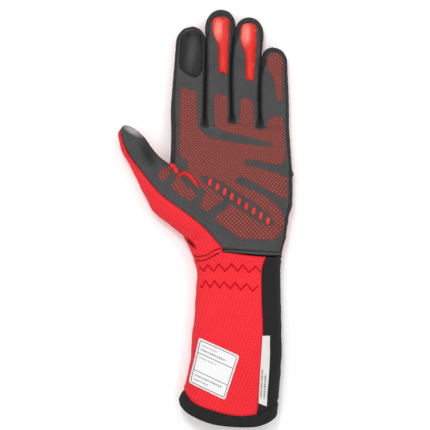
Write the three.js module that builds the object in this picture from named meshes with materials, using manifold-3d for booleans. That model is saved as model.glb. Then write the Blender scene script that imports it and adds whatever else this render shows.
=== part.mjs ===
// A left-hand racing glove with a long cuff, lying on its back with the palm up.
// Millimetres. +X is the little finger side, +Y runs to the fingertips, +Z is up out of the palm.
// Each sewn piece is a thin curved wall. All walls follow one stuffed hand form: a plan outline, and above
// and below it a surface that rolls over at the outline and is flat further in.

import * as THREE from 'three';
import { mergeVertices } from 'three/addons/utils/BufferGeometryUtils.js';
import Module from 'manifold-3d';

const wasm = await Module();
wasm.setup();

// Driving dimensions
const WALL = 1.6; // outer cloth with its lining
const SEAM_GAP = 0.4; // between two sewn pieces
const SLIT_HALF = 0.6; // half the space between two fingers
const CROTCH_RADIUS = 3.3; // of the black oval at the root of two fingers
const TIP_INSET = 2.6; // from the outline of a fingertip to the edge of its front
const OUTER_INSET = 2.6; // the same on the outer sides of the hand
const INNER_INSET = 1.3; // the same between two fingers
const EDGE_POWER = 2.25; // 2 is a round edge, more is squarer
const SKIN_LIFT = 0.3; // a pad or print stands this far off the panel it lies on
const SKIN_THICK = 0.6;
const STRIP_RISE = 0.7; // the folded strip of the heel stands this far off the panels
const TAG_THICK = 0.8;
const CUFF_WIDTH = 70; // at the wrist
const BACK_SEAM_INSET = 7; // of the two seams on the back of the cuff, in from its sides

// Outline of the fingers: the edge x at a few heights y, from the start of the round tip to the crotch
const FINGERS = [
  {
    name: 'index', tip: { x: -9.4, y: 153.2 }, round: 14.4,
    left: [{ y: 139, x: -23.2 }, { y: 117, x: -25 }, { y: 88, x: -27.3 }, { y: 72, x: -27 }],
    right: [{ y: 139, x: 0 }, { y: 117, x: -0.4 }, { y: 88, x: -1.1 }, { y: 75.3, x: -1.1 }],
  },
  {
    name: 'middle', tip: { x: 12.8, y: 166.4 }, round: 14,
    left: [{ y: 152.5, x: 0.6 }, { y: 132, x: 1.2 }, { y: 109, x: 0.9 }, { y: 75.3, x: 0.1 }],
    right: [{ y: 152.5, x: 23.6 }, { y: 132, x: 20.8 }, { y: 109, x: 20 }, { y: 78.3, x: 20.8 }],
  },
  {
    name: 'ring', tip: { x: 35, y: 160.2 }, round: 13.4,
    left: [{ y: 146.8, x: 24.2 }, { y: 132, x: 22 }, { y: 109, x: 21.2 }, { y: 78.3, x: 22 }],
    right: [{ y: 146.8, x: 46.1 }, { y: 132, x: 44.8 }, { y: 105, x: 43 }, { y: 74.7, x: 43.2 }],
  },
  {
    name: 'little', tip: { x: 54.6, y: 136.4 }, round: 11.4,
    left: [{ y: 125, x: 46 }, { y: 118, x: 45 }, { y: 105, x: 44.2 }, { y: 74.7, x: 44.4 }],
    right: [{ y: 125, x: 65.4 }, { y: 113, x: 65.8 }, { y: 97, x: 66.6 }, { y: 72, x: 66.9 }],
  },
];

// Outline of the hand and cuff below the knuckles
const INDEX_SIDE = [{ x: -27, y: 72 }, { x: -27.2, y: 56 }, { x: -28, y: 43 }];
const LITTLE_SIDE = [
  { x: 66.9, y: 72 }, { x: 68.2, y: 52 }, { x: 69.5, y: 33 }, { x: 69.2, y: 12 }, { x: 66.2, y: 0 },
  { x: 64.4, y: -13 }, { x: 60.8, y: -30 }, { x: 60.2, y: -50 }, { x: 61.2, y: -97 }, { x: 60.6, y: -120 },
  { x: 58.6, y: -143 }, { x: 57, y: -159 },
];
const THUMB_SIDE = [
  { x: -68.2, y: 71.6 }, { x: -69.8, y: 66.5 }, { x: -66.4, y: 54.3 }, { x: -59, y: 39.4 },
  { x: -48, y: 17.3 },
  { x: -41.5, y: 5.6 }, { x: -28.5, y: -5.6 }, { x: -18.2, y: -13.2 }, { x: -9.3, y: -31 },
];
const CUFF_SIDE = [
  { x: -9.3, y: -31 }, { x: -6.8, y: -43 }, { x: -7.6, y: -62 }, { x: -10.6, y: -97 }, { x: -13, y: -120 },
  { x: -17.3, y: -136.5 }, { x: -21.2, y: -146 }, { x: -20.2, y: -150 },
];
const THUMB_CROTCH_SIDE = [
  { x: -68.2, y: 71.6 }, { x: -66.6, y: 74 }, { x: -63.2, y: 75.1 }, { x: -56.6, y: 72.6 },
  { x: -49, y: 66.6 },
  { x: -42, y: 56 }, { x: -35.2, y: 48 }, { x: -28, y: 43 },
];

// The seam between the grey palm and the red thumb side, from the thumb tip to the heel
const PALM_SEAM = [
  { x: -68, y: 71 }, { x: -67.6, y: 65 }, { x: -62, y: 52.2 }, { x: -49, y: 35 }, { x: -34.6, y: 18.7 },
  { x: -13.8, y: 3.4 }, { x: 0, y: -8 }, { x: 14.6, y: -24.4 },
];
// The heel of the palm, and the lower edge of its folded strip
const HEEL = [{ x: 14.6, y: -24.6 }, { x: 30, y: -25.8 }, { x: 46, y: -26.6 }, { x: 59.2, y: -27.4 }];
const HEEL_FOLD = [{ x: 14, y: -26.6 }, { x: 30, y: -28 }, { x: 46, y: -29.4 }, { x: 59.4, y: -30 }];
// The top edge of the cuff: a raised red seam to the heel corner, then along the folded strip
const CUFF_TOP = [{ x: -9.2, y: -30.6 }, { x: 2, y: -29 }, { x: 13, y: -26.4 }, { x: 30, y: -28.8 },
  { x: 46, y: -30.4 }, { x: 60.8, y: -30.8 }];
// Where the black side panel of the cuff meets the red front, as a distance in from the little finger side
const CUFF_SEAM = [{ down: 0, inset: 12.2 }, { down: 0.1, inset: 15.6 }, { down: 0.5, inset: 14.8 },
  { down: 1, inset: 15.8 }];
// The binding's upper edge and its free edge
const HEM_TOP = [{ x: -17.6, y: -137.4 }, { x: -11, y: -146 }, { x: 3, y: -152.4 }, { x: 21.8, y: -157.2 },
  { x: 36, y: -157.2 }, { x: 48, y: -153.4 }, { x: 58.4, y: -146.4 }];
const HEM_EDGE = [{ x: -20.4, y: -149.6 }, { x: -12, y: -156.6 }, { x: 3.9, y: -163.4 },
  { x: 21.8, y: -166.1 },
  { x: 40, y: -166 }, { x: 51, y: -162.6 }, { x: 57, y: -158.8 }];

// The stuffed form along the hand: thickness, how far in the edge rolls over, and how high the back lies
// off the rest
const FORM = [
  { y: 168, thick: 15.5, roll: 8.8, lift: 6 },
  { y: 140, thick: 17, roll: 9, lift: 2.6 },
  { y: 110, thick: 18, roll: 9, lift: 0.7 },
  { y: 85, thick: 19.5, roll: 9.4, lift: 0 },
  { y: 55, thick: 24, roll: 12, lift: 0 },
  { y: 20, thick: 27, roll: 14, lift: 0 },
  { y: -20, thick: 26, roll: 14, lift: 0 },
  { y: -44, thick: 24, roll: 13, lift: 0 },
  { y: -90, thick: 26.5, roll: 14, lift: 0 },
  { y: -168, thick: 30, roll: 15, lift: 0 },
];
const THUMB = { thick: 19, roll: 9.2, lift: 7, base: { x: -28, y: 43 }, along: { x: -0.58, y: 0.815 } };

// Pads and dents of the palm side: centre, radii along and across a direction, and height
const RELIEF = [
  { x: -14, y: 8, along: 36, across: 20, turn: 125, height: 3 }, // ball of the thumb
  { x: 50, y: -2, along: 28, across: 15, turn: 95, height: 2.2 }, // outer pad of the palm
  { x: 20, y: 14, along: 26, across: 14, turn: 118, height: -2 }, // hollow of the palm
  { x: -12, y: 60, along: 9, across: 10, turn: 0, height: 1 },
  { x: 11, y: 62, along: 9, across: 10, turn: 0, height: 1 },
  { x: 33, y: 62, along: 9, across: 10, turn: 0, height: 1 },
  { x: 55, y: 60, along: 9, across: 10, turn: 0, height: 1 },
  { x: -44.6, y: 48.6, along: 9, across: 4, turn: 122, height: -2.4 }, // dent of the thumb joint
  { x: -22, y: 36, along: 12, across: 3.5, turn: 135, height: -1.6 }, // crease from the thumb crotch
  { x: -9, y: -20, along: 11, across: 3, turn: 35, height: -1.8 }, // folds where the wrist begins
  { x: -6, y: -14.5, along: 9, across: 2.6, turn: 40, height: -1.4 },
];

// Number of facets
const COLUMNS = 4; // across one finger
const EDGE_STEPS = { front: 2, back: 2 }; // over the side of a finger
const THUMB_EDGE_STEPS = { front: 6, back: 2 };
const PALM_ROWS = 10;
const THUMB_ROWS = 9;
const CUFF_ROWS = 11;
const CUFF_STEPS = { flat: 4, roll: 5, under: 3, back: 7 };
const HEM_STEPS = { down: 4, halfRound: 14 };
const STRIP_STEPS = { down: 2, along: 10 };
const TAG_STEPS = { down: 8, across: 3 };
// Rows of a finger, from 0 at its tip to 1 at the crotch
const TIP_ROW = 0.003;
const FINGER_ROWS = [0.035, 0.1, 0.17, 0.25, 0.36, 0.49, 0.62, 0.75, 0.87, 0.94, 1];

// Plain numbers and curves
const mix = (a, b, share) => a + (b - a) * share;
const mixPoint = (a, b, share) => ({ x: mix(a.x, b.x, share), y: mix(a.y, b.y, share) });
const clamp = (value) => Math.min(1, Math.max(0, value));
const ease = (value) => clamp(value) ** 2 * (3 - 2 * clamp(value));
const turned = (degrees) => ({
  x: Math.cos((degrees * Math.PI) / 180), y: Math.sin((degrees * Math.PI) / 180),
});

// Value of one column of a table at a place, on a smooth curve through the rows
function lookUp(table, place, column, at) {
  const rows = [...table].sort((a, b) => a[place] - b[place]);
  const last = rows.length - 1;
  if (at <= rows[0][place]) return rows[0][column];
  if (at >= rows[last][place]) return rows[last][column];
  const i = rows.findIndex((row, k) => k < last && at <= rows[k + 1][place]);
  const slope = (k) => {
    const before = rows[Math.max(0, k - 1)];
    const after = rows[Math.min(last, k + 1)];
    return (after[column] - before[column]) / (after[place] - before[place]);
  };
  const span = rows[i + 1][place] - rows[i][place];
  const t = (at - rows[i][place]) / span;
  const rise = t * t * (3 - 2 * t);
  return mix(rows[i][column], rows[i + 1][column], rise)
    + span * (t * (1 - t) ** 2 * slope(i) - t * t * (1 - t) * slope(i + 1));
}

// Smooth curve through the points of an outline table, read by the share of its length
function curve(points) {
  const spline = new THREE.SplineCurve(points.map((p) => new THREE.Vector2(p.x, p.y)));
  return (share) => {
    const p = spline.getPointAt(clamp(share));
    return { x: p.x, y: p.y };
  };
}
const indexSide = curve(INDEX_SIDE);
const littleSide = curve(LITTLE_SIDE);
const thumbSide = curve(THUMB_SIDE);
const cuffSide = curve(CUFF_SIDE);
const thumbCrotchSide = curve(THUMB_CROTCH_SIDE);
const palmSeam = curve(PALM_SEAM);
const heel = curve(HEEL);
const heelFold = curve(HEEL_FOLD);
const cuffTop = curve(CUFF_TOP);
const hemTop = curve(HEM_TOP);
const hemEdge = curve(HEM_EDGE);

// A place on the side of a finger, from 0 at the tip over 1 at the crotch: the outline and the seam of the
// front
const TIP_END = 0.3;
const CROTCH_START = 0.88;
const TIP_POWER = 2.15; // 2 is a round fingertip, more is squarer
function fingerEdge(number, side, down) {
  const finger = FINGERS[number];
  const sign = side === 'left' ? -1 : 1;
  const startY = finger.tip.y - finger.round;
  const open = (side === 'left' && number === 0) || (side === 'right' && number === FINGERS.length - 1);
  const last = finger[side][finger[side].length - 1];
  const edgeX = (y) => lookUp(finger[side], 'y', 'x', y);
  const insetAt = (y) => {
    const base = open ? OUTER_INSET : INNER_INSET;
    const atCrotch = open ? OUTER_INSET : CROTCH_RADIUS - SLIT_HALF;
    const lower = mix(base, atCrotch, ease((last.y + 9 - y) / 9));
    return mix(lower, TIP_INSET, ease((y - startY + 22) / 22));
  };
  if (down < TIP_END) {
    const angle = (Math.PI / 2) * (1 - down / TIP_END);
    const level = Math.sin(angle) ** (2 / TIP_POWER);
    const width = Math.cos(angle) ** (2 / TIP_POWER);
    const middle = (finger.left[0].x + finger.right[0].x) / 2;
    const half = Math.abs(edgeX(startY) - middle);
    const centre = mix(middle, finger.tip.x, level);
    return {
      edge: { x: centre + sign * half * width, y: startY + finger.round * level },
      seam: {
        x: centre + sign * (half - TIP_INSET) * width,
        y: startY + (finger.round - TIP_INSET) * level,
      },
    };
  }
  if (down <= CROTCH_START || open) {
    const end = open ? 1 : CROTCH_START;
    const y = mix(startY, last.y, (down - TIP_END) / (end - TIP_END));
    return { edge: { x: edgeX(y), y }, seam: { x: edgeX(y) - sign * insetAt(y), y } };
  }
  const angle = ((down - CROTCH_START) / (1 - CROTCH_START)) * (Math.PI / 2);
  const middle = last.x + sign * SLIT_HALF;
  const around = (radius) => ({
    x: middle - sign * radius * Math.cos(angle),
    y: last.y - radius * Math.sin(angle),
  });
  return { edge: around(SLIT_HALF), seam: around(CROTCH_RADIUS) };
}

// The whole outline as one open line, from the cuff mouth round the hand and back
function outlinePoints() {
  const points = [];
  const follow = (place, from, to, steps) => {
    for (let k = 0; k <= steps; k++) points.push(place(mix(from, to, k / steps)));
  };
  follow(cuffSide, 1, 0, 60);
  follow(thumbSide, 1, 0, 70);
  follow(thumbCrotchSide, 0, 1, 50);
  follow(indexSide, 1, 0, 16);
  FINGERS.forEach((finger, number) => {
    follow((down) => fingerEdge(number, 'left', down).edge, 1, 0, 60);
    follow((down) => fingerEdge(number, 'right', down).edge, 0, 1, 60);
  });
  follow(littleSide, 0, 1, 120);
  return points;
}
const OUTLINE = outlinePoints();

// How far in from the outline a place lies, and the direction inwards
function nearOutline(x, y) {
  let inset = Infinity;
  let inward = { x: 0, y: 0 };
  for (let k = 1; k < OUTLINE.length; k++) {
    const a = OUTLINE[k - 1];
    const dx = OUTLINE[k].x - a.x;
    const dy = OUTLINE[k].y - a.y;
    const length = Math.hypot(dx, dy);
    if (length < 1e-6) continue;
    const share = clamp(((x - a.x) * dx + (y - a.y) * dy) / length ** 2);
    const away = { x: x - a.x - share * dx, y: y - a.y - share * dy };
    const distance = Math.hypot(away.x, away.y);
    if (distance >= inset) continue;
    inset = distance;
    const square = { x: dy / length, y: -dx / length };
    inward = distance > 0.3 ? { x: away.x / distance, y: away.y / distance } : square;
  }
  return { inset, inward };
}

// The stuffed form at a place of the plan
function formAt(x, y) {
  const fromBase = { x: x - THUMB.base.x, y: y - THUMB.base.y };
  const along = fromBase.x * THUMB.along.x + fromBase.y * THUMB.along.y;
  const beside = -fromBase.x * THUMB.along.y + fromBase.y * THUMB.along.x;
  const share = ease((along + 25) / 40) * ease((beside + 8) / 12);
  return {
    half: mix(lookUp(FORM, 'y', 'thick', y), THUMB.thick, share) / 2,
    roll: mix(lookUp(FORM, 'y', 'roll', y), THUMB.roll, share),
    lift: Math.max(0, lookUp(FORM, 'y', 'lift', y)) * (1 - share) + THUMB.lift * share * ease(along / 48),
  };
}
const fullness = (inset) => (1 - (1 - clamp(inset)) ** EDGE_POWER) ** (1 / EDGE_POWER);

function reliefAt(x, y) {
  let height = 0;
  for (const row of RELIEF) {
    const way = turned(row.turn);
    const along = ((x - row.x) * way.x + (y - row.y) * way.y) / row.along;
    const across = ((y - row.y) * way.x - (x - row.x) * way.y) / row.across;
    height += row.height * Math.exp(-along * along - across * across);
  }
  return height;
}

// A point of the form's surface over a place of the plan, with the normal there; side is 1 on the palm side
// and -1 on the back
function onForm(place, side, near = nearOutline(place.x, place.y)) {
  const form = formAt(place.x, place.y);
  const inset = clamp(near.inset / form.roll);
  const full = fullness(inset);
  const crown = (x, y) => {
    const here = formAt(x, y);
    return here.lift + (side > 0 ? 2 * here.half + reliefAt(x, y) * full : 0);
  };
  const relief = side > 0 ? reliefAt(place.x, place.y) * full : 0;
  const point = new THREE.Vector3(place.x, place.y, form.lift + form.half * (1 + side * full) + relief);
  const outwards = (1 - inset) ** (EDGE_POWER - 1) / form.roll;
  const upwards = full ** (EDGE_POWER - 1) / form.half;
  const step = 0.5;
  const slopeX = (crown(place.x + step, place.y) - crown(place.x - step, place.y)) / (2 * step);
  const slopeY = (crown(place.x, place.y + step) - crown(place.x, place.y - step)) / (2 * step);
  point.normal = new THREE.Vector3(
    -near.inward.x * outwards - side * slopeX * upwards,
    -near.inward.y * outwards - side * slopeY * upwards,
    side * upwards,
  ).normalize();
  return point;
}

// Steps from a seam to the outline, closer together where the edge rolls over
function rollSteps(inset, roll, count) {
  const widest = Math.acos((1 - clamp(inset / roll)) ** (EDGE_POWER / 2));
  const insets = [];
  for (let k = 0; k <= count; k++) {
    const angle = widest * (1 - k / count);
    insets.push(Math.min(inset, roll * (1 - Math.cos(angle) ** (2 / EDGE_POWER))));
  }
  insets[0] = inset;
  return insets;
}

// One row over the edge, from the front seam round the outline to the back seam
function overEdge(edge, frontSeam, backSeam, steps) {
  const { roll } = formAt(edge.x, edge.y);
  const part = (seam, side, count) => {
    const reach = Math.hypot(seam.x - edge.x, seam.y - edge.y);
    const inward = { x: (seam.x - edge.x) / reach, y: (seam.y - edge.y) / reach };
    return rollSteps(reach, roll, count).map(
      (inset) => onForm(mixPoint(edge, seam, inset / reach), side, { inset, inward }),
    );
  };
  return [...part(frontSeam, 1, steps.front), ...part(backSeam, -1, steps.back).reverse().slice(1)];
}

// A net of four-sided facets that share corners, made of one or more grids of points
class Net {
  constructor() {
    this.points = [];
    this.normals = [];
    this.facets = [];
    this.known = new Map();
  }

  corner(point) {
    const key = [point.x, point.y, point.z].map((value) => Math.round(value * 1000)).join(' ');
    if (!this.known.has(key)) {
      this.known.set(key, this.points.length);
      this.points.push(point.clone());
      this.normals.push(point.normal.clone());
    }
    return this.known.get(key);
  }

  grid(rows, flipped = false) {
    for (let i = 1; i < rows.length; i++) {
      for (let j = 1; j < rows[i].length; j++) {
        const round = [rows[i - 1][j - 1], rows[i][j - 1], rows[i][j], rows[i - 1][j]];
        const facet = round.map((point) => this.corner(point));
        if (flipped) facet.reverse();
        this.facets.push(facet);
      }
    }
    return this;
  }

  triangles() {
    const list = [];
    for (const [a, b, c, d] of this.facets) {
      const short = this.points[a].distanceTo(this.points[c]) < this.points[b].distanceTo(this.points[d]);
      const pair = short ? [[a, b, c], [a, c, d]] : [[a, b, d], [b, c, d]];
      for (const t of pair) if (new Set(t).size === 3) list.push(t);
    }
    return list;
  }

  // A closed wall between two offsets from the net, the higher one outside
  wall(outer, inner) {
    const triangles = this.triangles();
    const count = this.points.length;
    const positions = [];
    for (const offset of [outer, inner]) {
      this.points.forEach((point, k) => {
        positions.push(...point.clone().addScaledVector(this.normals[k], offset).toArray());
      });
    }
    const faces = [];
    const sides = new Set(triangles.flatMap(([a, b, c]) => [`${a} ${b}`, `${b} ${c}`, `${c} ${a}`]));
    for (const [a, b, c] of triangles) {
      faces.push(a, b, c, a + count, c + count, b + count);
      for (const [from, to] of [[a, b], [b, c], [c, a]]) {
        if (sides.has(`${to} ${from}`)) continue;
        faces.push(to, from, from + count, to, from + count, to + count);
      }
    }
    const geometry = new THREE.BufferGeometry();
    geometry.setAttribute('position', new THREE.Float32BufferAttribute(positions, 3));
    geometry.setIndex(faces);
    return geometry;
  }
}

// Shares across a strip: even, or drawn towards one or both ends
const even = (count) => Array.from({ length: count + 1 }, (_, k) => k / count);
const toBothEnds = (count) => even(count).map((u) => mix(u, (1 - Math.cos(Math.PI * u)) / 2, 0.6));
const toOutline = (count) => even(count).map((u) => mix(u, Math.sin((Math.PI * u) / 2), 0.85));

function across(left, right, shares, side) {
  return shares.map((share) => onForm(mixPoint(left, right, share), side));
}

// Lines that run down the palm from the knuckles, between the strips of the four fingers
const KNUCKLE_Y = 72;
const CROTCH_SHARE = 0.3; // how far down the palm the thumb crotch lies
const PALM_CORNER = { x: -24.9, y: 40.4 }; // where the palm panel turns from the index finger to the thumb
const SEAM_AT_CROTCH = 0.36; // how far down the palm seam lies opposite the thumb crotch
const HEEL_SHARES = [0.12, 0.33, 0.55, 0.77, 1]; // where the five lines meet the heel
const BACK_FEET = [6, 20, 33, 46, 58]; // x where they meet the wrist seam of the back
const BACK_FOOT_Y = -30.4;

function palmLines(side) {
  const crotches = [0, 1, 2].map((number) => fingerEdge(number, 'right', 1).seam);
  const foot = side > 0 ? HEEL_SHARES.map(heel) : BACK_FEET.map((x) => ({ x, y: BACK_FOOT_Y }));
  const top = { x: fingerEdge(0, 'left', 1).seam.x, y: KNUCKLE_Y };
  const indexLine = (t) => {
    if (t >= CROTCH_SHARE) return mixPoint(PALM_CORNER, foot[0], (t - CROTCH_SHARE) / (1 - CROTCH_SHARE));
    const y = mix(top.y, PALM_CORNER.y + 2, t / CROTCH_SHARE);
    return { x: lookUp(INDEX_SIDE, 'y', 'x', y) + OUTER_INSET, y };
  };
  const littleLine = (t) => {
    const y = mix(KNUCKLE_Y, foot[4].y, t);
    return { x: lookUp(LITTLE_SIDE, 'y', 'x', y) - OUTER_INSET, y };
  };
  return [indexLine, ...crotches.map((from, k) => (t) => mixPoint(from, foot[k + 1], t)), littleLine];
}

// Shares down the palm for its rows, and the matching shares along the thumb's outer border
const PALM_DOWNS = even(PALM_ROWS);
const thumbShare = (t) => mix(0.02, SEAM_AT_CROTCH, t);
const heelShare = (t) => mix(SEAM_AT_CROTCH, 1, (t - CROTCH_SHARE) / (1 - CROTCH_SHARE));
const BORDER_SHARES = [...even(THUMB_ROWS).map(thumbShare),
  ...PALM_DOWNS.filter((t) => t > CROTCH_SHARE + 0.01).map(heelShare)];

// The seam on the back of the thumb, a little way in from the outline
function thumbBackSeam(share, less) {
  const here = thumbSide(share);
  const ahead = thumbSide(share + 0.01);
  const behind = thumbSide(share - 0.01);
  const along = { x: ahead.x - behind.x, y: ahead.y - behind.y };
  const inset = (OUTER_INSET * ease(0.3 + share * 10) - less) / Math.hypot(along.x, along.y);
  return { x: here.x - inset * along.y, y: here.y + inset * along.x };
}

// The palm side or the back of the hand as one net
function handNet(side) {
  const net = new Net();
  const flipped = side < 0;
  FINGERS.forEach((finger, number) => {
    const rows = FINGER_ROWS.map((down) => across(
      fingerEdge(number, 'left', down).seam, fingerEdge(number, 'right', down).seam, toBothEnds(COLUMNS),
      side,
    ));
    net.grid(rows, flipped);
  });
  const lines = palmLines(side);
  for (let k = 0; k < 4; k++) {
    net.grid(PALM_DOWNS.map((t) => across(lines[k](t), lines[k + 1](t), toBothEnds(COLUMNS), side)), flipped);
  }
  // The thumb lies beside the index line: its outer border is the palm seam in front, and near the outline
  // behind
  const border = side > 0 ? palmSeam : (share) => thumbBackSeam(share, 0);
  const thumbRows = even(THUMB_ROWS).map((t) => {
    const outer = border(thumbShare(t));
    const edge = thumbCrotchSide(mix(0.05, 1, t ** 0.9));
    const inner = t === 1 ? PALM_CORNER : insetFrom(edge, outer, SEAM_GAP / 2);
    const shares = toOutline(COLUMNS).map((u, k) => mix(u, toBothEnds(COLUMNS)[k], t ** 3));
    return across(outer, inner, shares, side);
  });
  net.grid(thumbRows, flipped);
  const below = PALM_DOWNS.filter((t) => t >= CROTCH_SHARE);
  net.grid(below.map((t) => across(border(heelShare(t)), lines[0](t), toBothEnds(COLUMNS), side)), flipped);
  return net;
}

// A place a short way in from an edge towards another place
function insetFrom(edge, towards, amount) {
  const length = Math.hypot(towards.x - edge.x, towards.y - edge.y);
  return mixPoint(edge, towards, Math.min(0.9, amount / length));
}

// Side strips of the fingers, over the edge from the front seam to the back seam
function fingerWallRow(number, side, down) {
  const { edge, seam } = fingerEdge(number, side, down);
  const near = insetFrom(seam, edge, SEAM_GAP);
  return overEdge(edge, near, near, EDGE_STEPS);
}
function handWallRow(place) {
  const seam = { x: place.x + (place.x < 0 ? 1 : -1) * (OUTER_INSET - SEAM_GAP), y: place.y };
  return overEdge(place, seam, seam, EDGE_STEPS);
}
const WALL_ROWS = [TIP_ROW, ...FINGER_ROWS];
const INDEX_WALL_SHARES = [0.84, 0.56, 0.28]; // from the thumb crotch up to the index finger
const LITTLE_WALL_FOOT = -29.6; // y of its lower end at the wrist

function fourchetteNet(number) {
  const down = WALL_ROWS.map((v) => fingerWallRow(number, 'right', v));
  const up = WALL_ROWS.slice(0, -1).reverse().map((v) => fingerWallRow(number + 1, 'left', v));
  return new Net().grid([...down, ...up]);
}
function indexWallNet() {
  const side = INDEX_WALL_SHARES.map((share) => handWallRow(indexSide(share)));
  const finger = [...WALL_ROWS].reverse().map((v) => fingerWallRow(0, 'left', v));
  return new Net().grid([...side, ...finger]);
}
function littleWallNet() {
  const finger = WALL_ROWS.map((v) => fingerWallRow(3, 'right', v));
  const side = PALM_DOWNS.slice(1).map((t) => {
    const y = mix(KNUCKLE_Y, LITTLE_WALL_FOOT, t);
    return handWallRow({ x: lookUp(LITTLE_SIDE, 'y', 'x', y), y });
  });
  return new Net().grid([...finger, ...side]);
}

// The red thumb side: from the palm seam over the outer edge to the back
function thumbSideNet() {
  const rows = BORDER_SHARES.map((share) => {
    const edge = thumbSide(share);
    const front = insetFrom(palmSeam(share), edge, SEAM_GAP);
    return overEdge(edge, front, thumbBackSeam(share, SEAM_GAP), THUMB_EDGE_STEPS);
  });
  return new Net().grid(rows, true);
}

// The cuff: a place on its plan, by the share down from its top to the binding and the share across
function cuffPlace(down, acrossShare, top, bottom) {
  const above = top(acrossShare);
  const below = bottom(acrossShare);
  const y = mix(above.y, below.y, down);
  const leftY = mix(top(0).y, bottom(0).y, down);
  const rightY = mix(top(1).y, bottom(1).y, down);
  const left = lookUp(CUFF_SIDE, 'y', 'x', leftY);
  const right = lookUp(LITTLE_SIDE, 'y', 'x', rightY);
  return { x: mix(left, right, acrossShare), y, width: right - left };
}
function curveByShareAcross(points) {
  const xs = points.map((p) => p.x);
  const low = Math.min(...xs);
  const high = Math.max(...xs);
  return (share) => ({ x: mix(low, high, share), y: lookUp(points, 'x', 'y', mix(low, high, share)) });
}
const cuffTopAt = curveByShareAcross(CUFF_TOP);
const hemTopAt = curveByShareAcross(HEM_TOP);
const hemEdgeAt = curveByShareAcross(HEM_EDGE);
const WRIST_SEAM_Y = -31; // of the straight seam across the back of the wrist
// The top edge of the cuff behind: it leaves the front edge at both sides and runs straight across
function cuffTopBehind(share) {
  const front = cuffTopAt(share);
  return { x: front.x, y: mix(front.y, WRIST_SEAM_Y, ease(Math.min(share, 1 - share) * 10)) };
}

const onCuff = (place, share, side) => onForm(place, side, {
  inset: Math.min(share, 1 - share) * place.width,
  inward: { x: share < 0.5 ? 1 : -1, y: 0 },
});

// A row round part of the cuff, from one share across to another on one side of the form
function cuffRow(down, from, to, side, shares) {
  const top = side > 0 ? cuffTopAt : cuffTopBehind;
  const above = (share) => ({ ...top(share), y: top(share).y - SEAM_GAP });
  const below = (share) => ({ ...hemTopAt(share), y: hemTopAt(share).y + SEAM_GAP });
  return shares.map((u) => {
    const share = mix(from, to, u);
    return onCuff(cuffPlace(down, share, above, below), share, side);
  });
}
const fromOutline = (count) => even(count).map((u) => 1 - Math.cos((Math.PI * u) / 2));
const towardsOutline = (count) => even(count).map((u) => Math.sin((Math.PI * u) / 2));
const seamShare = (down) => 1 - lookUp(CUFF_SEAM, 'down', 'inset', down) / CUFF_WIDTH;
const BACK_SEAM = BACK_SEAM_INSET / CUFF_WIDTH;
const GAP_SHARE = SEAM_GAP / 2 / CUFF_WIDTH;
const ROLL_START = 0.22; // the share across where the front begins to roll over to the thumb side

function cuffFrontNet() {
  const rows = even(CUFF_ROWS).map((down) => [
    ...cuffRow(down, seamShare(down) - GAP_SHARE, ROLL_START, 1, even(CUFF_STEPS.flat)),
    ...cuffRow(down, ROLL_START, 0, 1, towardsOutline(CUFF_STEPS.roll)).slice(1),
    ...cuffRow(down, 0, BACK_SEAM - GAP_SHARE, -1, fromOutline(CUFF_STEPS.under)).slice(1),
  ]);
  return new Net().grid(rows, true);
}

function cuffSideNet() {
  const rows = even(CUFF_ROWS).map((down) => [
    ...cuffRow(down, seamShare(down) + GAP_SHARE, 1, 1, towardsOutline(CUFF_STEPS.roll)),
    ...cuffRow(down, 1, 1 - BACK_SEAM + GAP_SHARE, -1, fromOutline(CUFF_STEPS.under)).slice(1),
  ]);
  return new Net().grid(rows);
}

function cuffBackNet() {
  const from = BACK_SEAM + GAP_SHARE;
  const rows = even(CUFF_ROWS).map((down) => cuffRow(down, from, 1 - from, -1, toBothEnds(CUFF_STEPS.back)));
  return new Net().grid(rows, true);
}

// The binding: a band right round the open end
function hemNet() {
  const half = even(HEM_STEPS.halfRound).map((u) => (1 - Math.cos(Math.PI * u)) / 2);
  const rows = even(HEM_STEPS.down).map((down) => {
    const at = (share, side) => onCuff(cuffPlace(down, share, hemTopAt, hemEdgeAt), share, side);
    const front = half.map((share) => at(share, 1));
    const back = half.slice(1, -1).map((share) => at(1 - share, -1));
    return [...front, ...back, front[0]];
  });
  return new Net().grid(rows);
}

// Folded strip along the heel: where it starts and ends along the heel, and its edges between heel and fold
const STRIP_ALONG = { from: 0.005, to: 0.96 };
const STRIP_DOWN = { from: 0.12, to: 0.88 };
function heelStripNet() {
  const rows = even(STRIP_STEPS.down).map((down) => even(STRIP_STEPS.along).map((u) => {
    const share = mix(STRIP_ALONG.from, STRIP_ALONG.to, u);
    return onForm(mixPoint(heel(share), heelFold(share), mix(STRIP_DOWN.from, STRIP_DOWN.to, down)), 1);
  }));
  return new Net().grid(rows);
}

// White tag in the seam between the red front and the black side of the cuff
function sideTagNet() {
  const rows = even(TAG_STEPS.down).map((down) => {
    const row = (column) => lookUp(SIDE_TAG, 'down', column, down);
    const at = (u) => ({ x: mix(row('left'), row('right'), u), y: row('y') + row('drop') * u });
    return even(TAG_STEPS.across).map((u) => onForm(at(u), 1));
  });
  return new Net().grid(rows);
}

// Joining and cutting
function solidOf(geometry) {
  const bare = geometry.clone();
  bare.deleteAttribute('normal');
  bare.deleteAttribute('uv');
  const merged = mergeVertices(bare, 1e-5);
  return new wasm.Manifold(new wasm.Mesh({
    numProp: 3,
    vertProperties: new Float32Array(merged.attributes.position.array),
    triVerts: new Uint32Array(merged.index.array),
  }));
}
function geometryOf(solid) {
  const mesh = solid.getMesh();
  const geometry = new THREE.BufferGeometry();
  geometry.setAttribute('position', new THREE.Float32BufferAttribute(mesh.vertProperties, 3));
  geometry.setIndex(Array.from(mesh.triVerts));
  return geometry;
}

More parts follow.
